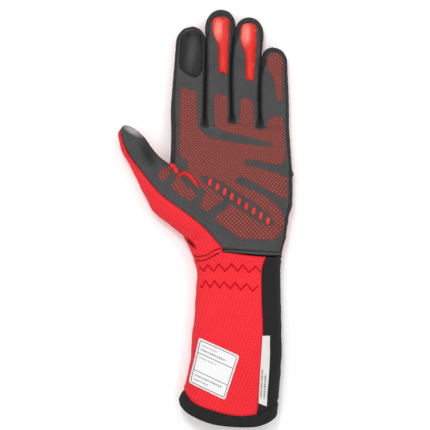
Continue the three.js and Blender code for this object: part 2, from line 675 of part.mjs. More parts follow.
// A flat outline with rounded corners, from a table of corners with their radii
function cornered(corners) {
  const shape = new THREE.Shape();
  corners.forEach((corner, k) => {
    const before = corners[(k + corners.length - 1) % corners.length];
    const after = corners[(k + 1) % corners.length];
    const reach = (other) => {
      const length = Math.hypot(other.x - corner.x, other.y - corner.y);
      return insetFrom(corner, other, Math.min(corner.r, length / 2.2));
    };
    const start = reach(before);
    const end = reach(after);
    if (k === 0) shape.moveTo(start.x, start.y);
    else shape.lineTo(start.x, start.y);
    shape.quadraticCurveTo(corner.x, corner.y, end.x, end.y);
  });
  shape.closePath();
  return shape;
}
const PRISM_HEIGHT = 60;
const PALM_FOOT = 8; // a height between the front and the back of the hand
const CUFF_FOOT = 16; // the same for the cuff
const CORNER_SEGMENTS = 3;
const prism = (shape, foot) => new THREE.ExtrudeGeometry(shape, {
  depth: PRISM_HEIGHT, bevelEnabled: false, curveSegments: CORNER_SEGMENTS,
}).translate(0, 0, foot);

// The part of a layer over a net that lies inside an outline and outside another
function skin(layer, shape, { foot = PALM_FOOT, without } = {}) {
  const inside = layer.intersect(solidOf(prism(shape, foot)));
  return geometryOf(without ? inside.subtract(solidOf(prism(without, foot - 1))) : inside);
}

// Outlines of pads, prints and labels, in plan, with corner radii
const TOUCH_PAD = [
  { x: -19.4, y: 148.8, r: 7 }, { x: -3, y: 149.6, r: 6 }, { x: -2.8, y: 115.4, r: 2 },
  { x: -8.4, y: 112.2, r: 3 },
  { x: -20.2, y: 120.4, r: 3 },
];
const MIDDLE_PATCH = [
  { x: 5.8, y: 160.8, r: 3.2 }, { x: 19.2, y: 160.6, r: 3 }, { x: 18.4, y: 134, r: 4 },
  { x: 17.6, y: 115, r: 1 },
  { x: 10.9, y: 117.2, r: 1 }, { x: 10.6, y: 138.6, r: 4 }, { x: 5.6, y: 147.6, r: 5 },
];
const RING_PATCH = [
  { x: 28.4, y: 156, r: 3.2 }, { x: 40.6, y: 155.8, r: 3.2 }, { x: 40.9, y: 140, r: 4 },
  { x: 38.7, y: 109.2, r: 1 },
  { x: 32.4, y: 111.4, r: 1 }, { x: 32.2, y: 131.8, r: 4 }, { x: 28.2, y: 140, r: 5 },
];
const GRIP_PALM = [
  { x: -20, y: 104.6, r: 2.6 }, { x: -7, y: 101.8, r: 2.4 }, { x: -6.2, y: 72.8, r: 4 },
  { x: 2.6, y: 64.6, r: 3 },
  { x: 14, y: 62, r: 2 }, { x: 30, y: 59.4, r: 8 }, { x: 53, y: 56.8, r: 2 }, { x: 53.2, y: 60, r: 2 },
  { x: 43, y: 62.4, r: 4 }, { x: 27, y: 66.2, r: 8 }, { x: 14, y: 69.6, r: 4 }, { x: 7.4, y: 73, r: 3 },
  { x: 7.2, y: 99.4, r: 2 }, { x: 17.6, y: 98.6, r: 2 }, { x: 18, y: 77.6, r: 2 },
  { x: 23.6, y: 75.4, r: 2 },
  { x: 27.8, y: 76.4, r: 1.6 }, { x: 27.8, y: 95.4, r: 2 }, { x: 34.4, y: 96.6, r: 4 },
  { x: 38.6, y: 91.6, r: 3 },
  { x: 38.6, y: 74, r: 3 }, { x: 44.6, y: 69.4, r: 3 }, { x: 49.8, y: 72, r: 2 },
  { x: 50.4, y: 79.4, r: 3 },
  { x: 56, y: 82.2, r: 3 }, { x: 62.4, y: 80.4, r: 3 }, { x: 63.4, y: 60, r: 6 }, { x: 64.6, y: 47, r: 3 },
  { x: 59.8, y: 42.4, r: 3 }, { x: 42.6, y: 45.4, r: 6 }, { x: 31, y: 47, r: 2.6 },
  { x: 32, y: 42.4, r: 3 },
  { x: 53.8, y: 37.4, r: 6 }, { x: 60.6, y: 33.8, r: 4 }, { x: 65.4, y: 32.4, r: 1.6 },
  { x: 65.4, y: 15.2, r: 2 },
  { x: 60.4, y: 16.4, r: 4 }, { x: 42.6, y: 26.6, r: 8 }, { x: 30, y: 33.2, r: 4 },
  { x: 24, y: 31.6, r: 3 },
  { x: 25.4, y: 27.6, r: 3 }, { x: 46, y: 19, r: 8 }, { x: 58.4, y: 10, r: 6 }, { x: 63.4, y: 0, r: 6 },
  { x: 61.2, y: -11, r: 6 }, { x: 56, y: -17, r: 4 }, { x: 28.4, y: -16.6, r: 5 }, { x: 12, y: -5, r: 6 },
  { x: 7, y: 0, r: 2.4 }, { x: 22.4, y: 13, r: 2 }, { x: 17.6, y: 16.4, r: 2 }, { x: 10.4, y: 11.6, r: 3 },
  { x: 1.2, y: 4.6, r: 2.6 }, { x: -4.4, y: 9, r: 2.6 }, { x: 0.2, y: 20.6, r: 3 },
  { x: -6.6, y: 29.4, r: 3 },
  { x: -14.6, y: 38.4, r: 3 }, { x: -14, y: 46.4, r: 1.6 }, { x: -20.8, y: 48.6, r: 4 },
];
const GRIP_LITTLE = [
  { x: 56, y: 133, r: 4 }, { x: 62, y: 130, r: 4 }, { x: 61.6, y: 94, r: 3 }, { x: 57.2, y: 93, r: 3 },
  { x: 55.4, y: 110, r: 5 }, { x: 49.2, y: 120, r: 4 }, { x: 49.4, y: 129, r: 4 },
];
const GRIP_THUMB_TIP = [
  { x: -36.9, y: 38.4, r: 2 }, { x: -30, y: 41.8, r: 2.6 }, { x: -26.2, y: 39.4, r: 2.4 },
  { x: -28.6, y: 34, r: 3 },
  { x: -33.6, y: 28.8, r: 2.6 }, { x: -38, y: 31, r: 3 },
];
const GRIP_THUMB_BASE = [
  { x: -23, y: 32.8, r: 2 }, { x: -19, y: 34.4, r: 2 }, { x: -18.6, y: 30.2, r: 2 },
  { x: -13, y: 24.6, r: 4 },
  { x: -6.2, y: 19.6, r: 4 }, { x: -8, y: 15.4, r: 3 }, { x: -12.4, y: 13.2, r: 3 },
  { x: -28.6, y: 24.4, r: 5 },
];
const RIB_BAND = [
  { x: -5.4, y: 34.6, r: 3 }, { x: 8, y: 31.4, r: 6 }, { x: 34, y: 15.6, r: 9 }, { x: 54.4, y: 0.4, r: 5 },
  { x: 54.6, y: -6.4, r: 3 }, { x: 47, y: -5.4, r: 6 }, { x: 21, y: 11, r: 9 }, { x: 0, y: 27, r: 6 },
];
const GUSSET = [
  { x: -28.4, y: 43.4, r: 1.6 }, { x: -24.4, y: 42.6, r: 2 }, { x: -21.4, y: 38.6, r: 2 },
  { x: -23.2, y: 35.8, r: 2 },
  { x: -26.6, y: 38.6, r: 2 },
];
const CARE_LABEL = [
  { x: -4.9, y: -95, r: 2 }, { x: 27.3, y: -109.4, r: 2 }, { x: 15.6, y: -144.6, r: 2 },
  { x: -13, y: -131, r: 2 },
];
const SIDE_TAG = [
  { down: 0, y: -93.6, left: 45.6, right: 52, drop: 0 },
  { down: 0.35, y: -113.4, left: 44.4, right: 51.8, drop: 0 },
  { down: 0.8, y: -137, left: 43, right: 50.2, drop: -1 },
  { down: 1, y: -147.2, left: 42.5, right: 49.4, drop: -3 },
];
// Slanted ribs in the band across the palm
const RIBS = {
  count: 9, from: { x: 4, y: 28.8 }, to: { x: 50, y: -2 }, length: 6, width: 2.4, turn: 78, corner: 0.8,
};

function ribShapes() {
  const way = turned(RIBS.turn);
  return even(RIBS.count - 1).map((share) => {
    const middle = mixPoint(RIBS.from, RIBS.to, share);
    const corner = (endways, sideways) => {
      const along = (endways * RIBS.length) / 2;
      const beside = (sideways * RIBS.width) / 2;
      return {
        x: middle.x + way.x * along - way.y * beside,
        y: middle.y + way.y * along + way.x * beside,
        r: RIBS.corner,
      };
    };
    return cornered([corner(-1, -1), corner(-1, 1), corner(1, 1), corner(1, -1)]);
  });
}

// Finishes
const SUEDE = { color: 0x4e5052, roughness: 0.9 };
const BLACK_CLOTH = { color: 0x2a2929, roughness: 0.85 };
const RED_KNIT = { color: 0xfa343e, roughness: 0.8 };
const RUBBER = { color: 0xf53c32, roughness: 0.4 };
const PRINT = { color: 0xa04a42, roughness: 0.6 };
const SMOOTH_LEATHER = { color: 0x2d2c30, roughness: 0.4 };
const WHITE_CLOTH = { color: 0xf2f2f0, roughness: 0.7 };

// Assembly
const glove = new THREE.Group();
function add(name, geometry, finish) {
  const mesh = new THREE.Mesh(geometry, new THREE.MeshStandardMaterial(finish));
  mesh.name = name;
  glove.add(mesh);
}
const sewn = (net) => net.wall(0, -WALL);
const palm = handNet(1);
const cuffFront = cuffFrontNet();
add('palm_panel', sewn(palm), SUEDE);
add('back_panel', sewn(handNet(-1)), RED_KNIT);
add('thumb_side_panel', sewn(thumbSideNet()), RED_KNIT);
add('index_side_wall', sewn(indexWallNet()), BLACK_CLOTH);
add('fourchette_index_middle', sewn(fourchetteNet(0)), BLACK_CLOTH);
add('fourchette_middle_ring', sewn(fourchetteNet(1)), BLACK_CLOTH);
add('fourchette_ring_little', sewn(fourchetteNet(2)), BLACK_CLOTH);
add('little_side_wall', sewn(littleWallNet()), BLACK_CLOTH);
add('heel_strip', heelStripNet().wall(STRIP_RISE, -WALL), SUEDE);
add('cuff_panel', sewn(cuffFront), RED_KNIT);
add('cuff_side_panel', sewn(cuffSideNet()), BLACK_CLOTH);
add('cuff_back_panel', sewn(cuffBackNet()), RED_KNIT);
add('hem_binding', sewn(hemNet()), BLACK_CLOTH);

const layerOver = (net) => solidOf(net.wall(SKIN_LIFT + SKIN_THICK, SKIN_LIFT));
const palmLayer = layerOver(palm);
const onPalm = (corners, more) => skin(palmLayer, cornered(corners), more);
add('touch_pad', onPalm(TOUCH_PAD), SMOOTH_LEATHER);
add('middle_grip_patch', onPalm(MIDDLE_PATCH), RUBBER);
add('ring_grip_patch', onPalm(RING_PATCH), RUBBER);
add('grip_print_palm', onPalm(GRIP_PALM, { without: cornered(RIB_BAND) }), PRINT);
add('grip_print_little', onPalm(GRIP_LITTLE), PRINT);
add('grip_print_thumb_tip', onPalm(GRIP_THUMB_TIP), PRINT);
add('grip_print_thumb_base', onPalm(GRIP_THUMB_BASE), PRINT);
ribShapes().forEach((shape, k) => add(`grip_rib_${k + 1}`, skin(palmLayer, shape), RUBBER));
add('thumb_gusset', onPalm(GUSSET), RED_KNIT);
add('care_label', skin(layerOver(cuffFront), cornered(CARE_LABEL), { foot: CUFF_FOOT }), WHITE_CLOTH);
add('side_tag', sideTagNet().wall(SKIN_LIFT + TAG_THICK, SKIN_LIFT), WHITE_CLOTH);

// The origin is under the middle of the glove
const extent = new THREE.Box3().setFromObject(glove);
const middle = extent.getCenter(new THREE.Vector3());
glove.position.set(-middle.x, -middle.y, -extent.min.z);

export default glove;
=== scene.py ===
# %% [markdown]
# # A long-cuff racing glove, laid palm up
# The glove is sewn from thin panels: a grey suede palm that runs up the fingers, black strips between the
# fingers, a red knit thumb side and back, and a long red cuff with a black side panel and a black binding at
# its open end. On the palm lie a printed grip, two smooth patches, a leather pad for the index finger and
# plain ribs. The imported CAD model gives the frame. This script makes a fine piece for each of its nodes.

# %% Frame
import math

import bpy
import numpy as np
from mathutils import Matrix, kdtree
from mathutils.geometry import delaunay_2d_cdt


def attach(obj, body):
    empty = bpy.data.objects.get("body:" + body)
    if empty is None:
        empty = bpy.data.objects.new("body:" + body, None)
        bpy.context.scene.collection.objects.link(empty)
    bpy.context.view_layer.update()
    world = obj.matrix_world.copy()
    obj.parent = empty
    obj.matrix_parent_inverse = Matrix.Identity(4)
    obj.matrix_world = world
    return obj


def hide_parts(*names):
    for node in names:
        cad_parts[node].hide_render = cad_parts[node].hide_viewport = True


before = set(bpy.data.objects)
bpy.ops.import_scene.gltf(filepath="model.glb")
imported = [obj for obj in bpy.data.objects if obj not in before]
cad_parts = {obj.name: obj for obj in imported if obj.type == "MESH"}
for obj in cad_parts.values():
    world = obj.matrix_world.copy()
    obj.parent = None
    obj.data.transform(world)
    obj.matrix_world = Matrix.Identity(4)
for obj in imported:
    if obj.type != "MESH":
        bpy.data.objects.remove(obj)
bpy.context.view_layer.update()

# %% [markdown]
# ## Sizes and outlines
# Every table is in millimetres, in the plan of the lying glove: x to the little finger side, y to the
# fingertips. They are the pattern pieces of the glove, so each row is a place that a pattern cutter would
# mark.

# %% Pattern tables
MM = 0.001
ORIGIN = np.array([-0.0523, 0.0372, 0.0])  # moves the pattern's zero under the middle of the glove
WALL = 1.6  # outer cloth with its lining
SEAM_GAP = 0.3
SLIT_HALF = 0.45  # half the space between two fingers
CROTCH_RADIUS = 1.9  # of the seam round the foot of a slit
TIP_INSETS = [(1.1, 1.0), (3.8, 1.9), (3.1, 1.7), (2.5, 1.3)]  # of each finger, at the top and at the side
THUMB_BACK_INSET = 2.6  # of the seam on the back of the thumb
# y, and inset of the seam on the outer side of the index and of the little finger
INDEX_INSETS = [(156, 1.8), (140, 1.3), (122, 1.3), (104, 1.8), (84, 2.5), (40, 2.9)]
LITTLE_INSETS = [(140, 2.0), (124, 1.4), (100, 1.4), (72, 1.6), (44, 1.7), (22, 2.2), (2, 1.8), (-16, 1.2),
                 (-32, 0.9)]
GAPS = [(-0.6, 141), (21.4, 150), (43.8, 124)]  # x between two fingers and the y where they part
SQUEEZE = 0.42  # roll that is left where fingers lie against each other
INNER_INSET = 0.32  # of the seams that face another finger
STRIP_GAP = 0.15  # between a strip and its seam
EDGE_INSET = 0.001  # of a seam that runs along the outline itself, where the form is steep
EDGE_POWER = 2.25  # 2 is a round edge, more is squarer
TIP_POWER = 2.15  # the same for the outline of a fingertip
TIP_END = 0.3  # share down a finger where its round tip ends
TIP_BLEND = 12.0  # over which the black round a tip narrows
CROTCH_START = 0.88  # share down a finger where its crotch begins to turn
CROTCH_BLEND = 7.0  # over which the strip widens above a crotch
KNUCKLE_Y = 72.0

FINGERS = [  # tip (x, y), length of the round tip, and rows (y, x) of both edges
    dict(tip=(-11.2, 152.9), round=14.1, left=[(139, -23.2), (117, -25), (88, -27.3), (72, -27)],
         right=[(139, 0), (117, -0.4), (88, -1.1), (75.3, -1.1)]),
    dict(tip=(12.8, 166.4), round=14.0, left=[(152.5, 0.6), (132, 1.2), (109, 0.9), (75.3, 0.1)],
         right=[(152.5, 23.6), (132, 20.8), (109, 20), (78.3, 20.8)]),
    dict(tip=(35.0, 160.2), round=13.4, left=[(146.8, 24.2), (132, 22), (109, 21.2), (78.3, 22)],
         right=[(146.8, 46.1), (132, 44.8), (105, 43), (74.7, 43.2)]),
    dict(tip=(54.6, 136.4), round=11.4, left=[(125, 46), (118, 45), (105, 44.2), (74.7, 44.4)],
         right=[(125, 65.4), (113, 65.8), (97, 66.6), (72, 66.9)]),
]
# Sides, seams and edges as rows (x, y)
INDEX_SIDE = [(-27, 72), (-27.2, 56), (-28, 43)]
LITTLE_SIDE = [(66.9, 72), (68.2, 52), (69.5, 33), (69.2, 12), (66.2, 0), (64.4, -13), (60.8, -30),
               (60.2, -50), (61.2, -97), (60.6, -120), (58.6, -143), (57, -159)]
THUMB_SIDE = [(-68, 71.2), (-69, 69.4), (-69.7, 67), (-69.8, 64.2), (-68.7, 59.2), (-66, 52.6), (-59, 39.4),
              (-48, 17.3), (-41.5, 5.6), (-28.5, -5.6), (-18.2, -13.2), (-17, -15.6), (-13.5, -22.4),
              (-9.3, -31)]
CUFF_SIDE = [(-9.3, -31), (-6.8, -43), (-7.6, -62), (-10.6, -97), (-13, -120), (-17.3, -136.5), (-21.2, -146),
             (-20.2, -150)]
THUMB_CROTCH_SIDE = [(-68, 71.2), (-66.3, 73.2), (-63.3, 74.3), (-57, 72), (-49.4, 65.6), (-42.2, 55.8),
                     (-35.2, 48), (-28, 43)]
PALM_SEAM = [(-67.8, 70.8), (-67.4, 65.4), (-62, 52.2), (-49, 35), (-34.6, 18.7), (-13.8, 3.4), (0, -8),
             (14.6, -24.4)]
HEEL = [(14.6, -24.6), (30, -25.8), (46, -26.8), (60.2, -27.4)]
HEEL_FOLD = [(14, -26.4), (30, -27.8), (46, -29), (60.6, -29.6)]
CUFF_TOP = [(-9.2, -30.6), (2, -29), (13, -26.4), (30, -28.8), (46, -30.4), (60.8, -30.8)]
# Share down, distance in from the little finger side
CUFF_SEAM = [(0, 12.2), (0.1, 15.6), (0.5, 14.8), (1, 15.8)]
HEM_TOP = [(-17.6, -137.4), (-11, -146), (3, -152.4), (21.8, -157.2), (36, -157.2), (48, -153.4),
           (58.4, -146.4)]
HEM_EDGE = [(-21.1, -146.6), (-20.4, -149), (-17.6, -152.4), (-12, -156.6), (3.9, -163.4), (21.8, -166.1),
            (40, -166), (51, -162.6), (57, -158.8)]
# Share down, y, left x, right x, drop of the right side
SIDE_TAG = [(0, -93.6, 45.6, 51.5, 0), (0.35, -113.4, 44.4, 51.2, 0), (0.8, -137, 43, 49.6, -1),
            (1, -147.2, 42.5, 48.9, -2.5)]
WRIST_SEAM_Y = -31.0
BACK_FOOT_Y = -30.4
CROTCH_SHARE = 0.3  # share down the palm of the crotch of the thumb
SEAM_AT_CROTCH = 0.36  # share along the palm seam at the same height
PALM_CORNER = (-24.9, 40.4)  # of the palm in the crotch of the thumb

FORM = [  # y, thickness, how far in the edge rolls over, how high the back lies off the floor
    (168, 12, 8.8, 5), (150, 15.4, 9, 3.2), (138, 16.8, 9, 2.4), (110, 18, 9, 0.7), (85, 19.5, 9.4, 0),
    (55, 24, 12, 0), (20, 27, 14, 0), (-20, 26, 14, 0), (-44, 24, 13, 0), (-90, 26.5, 14, 0),
    (-168, 30, 15, 0)]
THUMB = dict(thick=19, roll=9.2, lift=7, base=(-28, 43), along=(-0.58, 0.815))
RELIEF = [  # pads and dents of the palm side: x, y, half length, half width, turn, height
    (-14, 8, 36, 20, 125, 3), (50, -2, 28, 15, 95, 2.2), (20, 14, 26, 14, 118, -2), (-12, 60, 9, 10, 0, 1),
    (11, 62, 9, 10, 0, 1), (33, 62, 9, 10, 0, 1), (55, 60, 9, 10, 0, 1), (-44.6, 48.6, 9, 4, 122, -2.4),
    (-22, 36, 12, 3.5, 135, -1.6), (-9, -20, 11, 3, 35, -1.8), (-6, -14.5, 9, 2.6, 40, -1.4)]
FOLDS = [  # smaller folds that only the fine pieces have, in the same columns
    (-10, 150.2, 2.4, 1.5, 0, -3), (-13.4, 146.6, 3.6, 0.9, 60, -0.7), (-6.4, 146.4, 3.6, 0.9, 120, -0.7),
    (-12, 136, 12, 2.6, 88, 0.6), (2, -58, 8, 2.2, 62, -0.5), (8, -66, 12, 2.6, 75, 0.35),
    (-12.2, -19.2, 6, 0.9, -46, -6), (-10.4, -17.6, 6.4, 1.6, -46, 1.4), (-56.2, 66.5, 7, 3, -38, 0.5),
    (-44.6, 49.6, 6, 2.4, 118, -1.2), (-60, 62, 8, 4, 118, 0.5), (-55.6, 64.4, 7, 1.2, -18, -1.1)]
print(len(FINGERS), "fingers,", len(RELIEF) + len(FOLDS), "pads, dents and folds")

# %% [markdown]
# ## The stuffed form
# A glove holds the shape of a hand: seen from above it has a plan outline, and from the side each part of it
# is a flat-topped oval. One way is to sculpt it; another is to loft tubes for the fingers. Here one height
# rule makes all of it: the surface rises from the outline with the curve of a rounded edge, and is level
# further in. So every panel lies on the same form, and two panels that meet at a seam have the same height
# there.

# %% Curves through tables
def through(rows, at, column=1):
    """Values of a column on a smooth curve through a table, read by its first column."""
    rows = np.array(sorted(rows), float)
    place, value = rows[:, 0], rows[:, column]
    last = len(place) - 1
    before = np.maximum(np.arange(last + 1) - 1, 0)
    after = np.minimum(np.arange(last + 1) + 1, last)
    slope = (value[after] - value[before]) / (place[after] - place[before])
    at = np.clip(np.asarray(at, float), place[0], place[-1])
    i = np.clip(np.searchsorted(place, at, side="right") - 1, 0, last - 1)
    span = place[i + 1] - place[i]
    t = (at - place[i]) / span
    rise = t * t * (3 - 2 * t)
    bend = t * (1 - t) ** 2 * slope[i] - t * t * (1 - t) * slope[i + 1]
    return value[i] + (value[i + 1] - value[i]) * rise + span * bend


def smooth_line(corners, steps=60):
    """Close points on a smooth curve through the corners."""
    p = np.array(corners, float)
    last = len(p) - 1
    t = np.linspace(0, 1, steps, endpoint=False)[:, None]
    found = []
    for i in range(last):
        a, b, c, d = (p[min(max(i + k, 0), last)] for k in (-1, 0, 1, 2))
        v, w = (c - a) / 2, (d - b) / 2
        found.append((2 * b - 2 * c + v + w) * t**3 + (3 * c - 3 * b - 2 * v - w) * t**2 + v * t + b)
    return np.concatenate([*found, p[-1:]])


def lengths(line):
    """Distance along a line at each of its points."""
    return np.concatenate([[0], np.cumsum(np.linalg.norm(np.diff(line, axis=0), axis=1))])


def along_line(line, at):
    """Points of a line of the plan at distances along it."""
    along = lengths(line)
    return np.stack([np.interp(at, along, line[:, k]) for k in range(2)], -1)


def leftwards(line):
    """Unit directions to the left of a line of the plan, seen along it."""
    along = np.gradient(line, axis=0)
    along /= np.linalg.norm(along, axis=1, keepdims=True)
    return np.stack([-along[:, 1], along[:, 0]], -1)


def by_share(corners):
    """A smooth curve as a function of the share of its length."""
    line = smooth_line(corners)
    share = lengths(line) / lengths(line)[-1]
    return lambda at: np.stack([np.interp(at, share, line[:, k]) for k in range(line.shape[1])], -1)


def ease(value):
    """A soft step from 0 to 1."""
    value = np.clip(value, 0, 1)
    return value * value * (3 - 2 * value)


def mix(a, b, share):
    """From a to b by a share of the way."""
    return a + (b - a) * share


index_side, little_side, thumb_side = by_share(INDEX_SIDE), by_share(LITTLE_SIDE), by_share(THUMB_SIDE)
cuff_side, crotch_side, palm_seam = by_share(CUFF_SIDE), by_share(THUMB_CROTCH_SIDE), by_share(PALM_SEAM)
heel, heel_fold = by_share(HEEL), by_share(HEEL_FOLD)


def flip(rows):
    """A table of (x, y) as one of (y, x)."""
    return [(row[1], row[0]) for row in rows]


def little_x(y):
    """The x of the little finger side."""
    return through(flip(LITTLE_SIDE), y)


# %% The side of a finger
def finger_side(number, side, down):
    """Outline and front seam of one side of a finger, from 0 at the tip to 1 at the crotch."""
    finger = FINGERS[number]
    sign = -1 if side == "left" else 1
    rows = finger[side]
    outer = (number, side) in ((0, "left"), (3, "right"))
    start = finger["tip"][1] - finger["round"]
    last_y, last_x = rows[-1]
    down = np.asarray(down, float)
    angle = np.pi / 2 * (1 - np.minimum(down, TIP_END) / TIP_END)
    level, width = np.sin(angle) ** (2 / TIP_POWER), np.cos(angle).clip(0) ** (2 / TIP_POWER)
    middle = (finger["left"][0][1] + finger["right"][0][1]) / 2
    half = abs(through(rows, start) - middle)
    centre = mix(middle, finger["tip"][0], level)
    tip_edge = np.stack([centre + sign * half * width, start + finger["round"] * level], -1)
    at_top, at_side = TIP_INSETS[number]
    outer_rows = INDEX_INSETS if number == 0 else LITTLE_INSETS
    if outer:
        at_side = through(outer_rows, start)
    tip_seam = np.stack([centre + sign * (half - at_side) * width,
                         start + (finger["round"] - at_top) * level], -1)
    end = 1 if outer else CROTCH_START
    y = mix(start, last_y, np.clip((down - TIP_END) / (end - TIP_END), 0, 1))
    x = through(rows, y)
    lower = mix(INNER_INSET, CROTCH_RADIUS - SLIT_HALF, ease((last_y + CROTCH_BLEND - y) / CROTCH_BLEND))
    inset = mix(lower, at_side, ease((y - start + TIP_BLEND) / TIP_BLEND))
    if outer:
        inset = through(outer_rows, y)
    side_edge, side_seam = np.stack([x, y], -1), np.stack([x - sign * inset, y], -1)
    angle = np.clip((down - CROTCH_START) / (1 - CROTCH_START), 0, 1) * np.pi / 2

    def round_at(radius):
        x_here = last_x + sign * (SLIT_HALF - radius * np.cos(angle))
        return np.stack([x_here, last_y - radius * np.sin(angle)], -1)

    in_tip = (down < TIP_END)[..., None]
    in_oval = ((down > CROTCH_START) & (not outer))[..., None]
    edge = np.where(in_tip, tip_edge, np.where(in_oval, round_at(SLIT_HALF), side_edge))
    seam = np.where(in_tip, tip_seam, np.where(in_oval, round_at(CROTCH_RADIUS), side_seam))
    return edge, seam


# %% The plan outline and the distance to it
def outline_line():
    """Close points round the whole glove."""
    parts = [cuff_side(np.linspace(1, 0, 300)), thumb_side(np.linspace(1, 0, 400)),
             crotch_side(np.linspace(0, 1, 300)), index_side(np.linspace(1, 0, 100))]
    for number in range(4):
        parts.append(finger_side(number, "left", np.linspace(1, 0, 360))[0])
        parts.append(finger_side(number, "right", np.linspace(0, 1, 360))[0])
    parts.append(little_side(np.linspace(0, 1, 500)))
    line = np.concatenate(parts)
    step = np.linalg.norm(np.diff(line, axis=0), axis=1)
    return line[np.concatenate([[True], step > 1e-4])]


def tree_of(points):
    """A search tree over points with two or three coordinates."""
    tree = kdtree.KDTree(len(points))
    for k, point in enumerate(np.asarray(points, float)):
        tree.insert((*point, 0.0) if len(point) == 2 else tuple(point), k)
    tree.balance()
    return tree


def nearest(tree, points):
    """Number of the nearest point in a tree and the distance to it, for each point."""
    flat = np.asarray(points, float).reshape(-1, np.shape(points)[-1])
    if flat.shape[1] == 2:
        flat = np.concatenate([flat, np.zeros((len(flat), 1))], 1)
    found = [tree.find(point)[1:] for point in flat.tolist()]
    numbers, distances = np.array([f[0] for f in found]), np.array([f[1] for f in found])
    return numbers.reshape(np.shape(points)[:-1]), distances.reshape(np.shape(points)[:-1])


OUTLINE = outline_line()
OUTLINE_TREE = tree_of(OUTLINE)


def near_outline(place):
    """How far in from the outline places of the plan lie, and the direction inwards."""
    number, _ = nearest(OUTLINE_TREE, place)
    best, inward = np.full(number.shape, np.inf), np.zeros((*number.shape, 2))
    for shift in (-1, 0):
        a = OUTLINE[np.clip(number + shift, 0, len(OUTLINE) - 2)]
        along = OUTLINE[np.clip(number + shift, 0, len(OUTLINE) - 2) + 1] - a
        length = np.linalg.norm(along, axis=-1)
        share = np.clip(((place - a) * along).sum(-1) / length**2, 0, 1)
        away = place - a - share[..., None] * along
        distance = np.linalg.norm(away, axis=-1)
        square = np.stack([along[..., 1], -along[..., 0]], -1) / length[..., None]
        towards = np.where(distance[..., None] > 0.3, away / distance.clip(1e-9)[..., None], square)
        closer = distance < best
        best = np.where(closer, distance, best)
        inward = np.where(closer[..., None], towards, inward)
    return best, inward


print("outline of", len(OUTLINE), "points,", round(lengths(OUTLINE)[-1]), "mm long")


# %% Height of the form
def form_at(x, y):
    """Half thickness, roll and lift of the form at places of the plan."""
    base_x, base_y = x - THUMB["base"][0], y - THUMB["base"][1]
    along = base_x * THUMB["along"][0] + base_y * THUMB["along"][1]
    beside = -base_x * THUMB["along"][1] + base_y * THUMB["along"][0]
    share = ease((along + 25) / 40) * ease((beside + 8) / 12)
    half = mix(through(FORM, y, 1), THUMB["thick"], share) / 2
    squeezed = sum(ease((9 - np.abs(x - at)) / 5) * ease((y - 66) / 10) * ease((top + 4 - y) / 12)
                   for at, top in GAPS)
    roll = mix(through(FORM, y, 2), THUMB["roll"], share) * mix(1, SQUEEZE, squeezed)
    lift = np.maximum(0, through(FORM, y, 3)) * (1 - share) + THUMB["lift"] * share * ease(along / 48)
    return half, roll, lift


def bumps(rows, x, y):
    """Sum of soft oval pads and dents."""
    height = np.zeros(np.shape(x))
    for row_x, row_y, length, width, turn, rise in rows:
        way = (math.cos(math.radians(turn)), math.sin(math.radians(turn)))
        along = ((x - row_x) * way[0] + (y - row_y) * way[1]) / length
        across = ((y - row_y) * way[0] - (x - row_x) * way[1]) / width
        height += rise * np.exp(-along * along - across * across)
    return height


STEP = 0.3  # between the places that a slope is read from


def on_form(place, side, near=None):
    """Points and normals of the form over places of the plan; side is 1 for the palm and -1 for the back."""
    x, y = place[..., 0], place[..., 1]
    inset, inward = near_outline(place) if near is None else near
    half, roll, lift = form_at(x, y)
    inner = np.clip(inset / roll, 0, 1)
    full = (1 - (1 - inner) ** EDGE_POWER) ** (1 / EDGE_POWER)

    def crown(at_x, at_y):
        half_here, _, lift_here = form_at(at_x, at_y)
        if side < 0:
            return lift_here
        return lift_here + 2 * half_here + (bumps(RELIEF, at_x, at_y) + bumps(FOLDS, at_x, at_y)) * full

    relief = (bumps(RELIEF, x, y) + bumps(FOLDS, x, y)) * full if side > 0 else 0
    z = lift + half * (1 + side * full) + relief
    outwards = (1 - inner) ** (EDGE_POWER - 1) / roll
    upwards = full ** (EDGE_POWER - 1) / half
    slope_x = (crown(x + STEP, y) - crown(x - STEP, y)) / (2 * STEP)
    slope_y = (crown(x, y + STEP) - crown(x, y - STEP)) / (2 * STEP)
    normal = np.stack([-inward[..., 0] * outwards - side * slope_x * upwards,
                       -inward[..., 1] * outwards - side * slope_y * upwards, side * upwards], -1)
    normal /= np.linalg.norm(normal, axis=-1, keepdims=True)
    return np.stack([x, y, z], -1), normal


# %% [markdown]
# ## Panels
# A sewn panel is a thin wall. Its border turns down into the seam, and just beside the seam the cloth swells
# because seam allowances lie under it. A modifier could thicken a sheet, but it would not know the seams. So
# each panel is built here from strips of points, its border is found, and each point is moved by its distance
# to the border. The distance is kept on the mesh, because dye and dust also differ beside a seam.

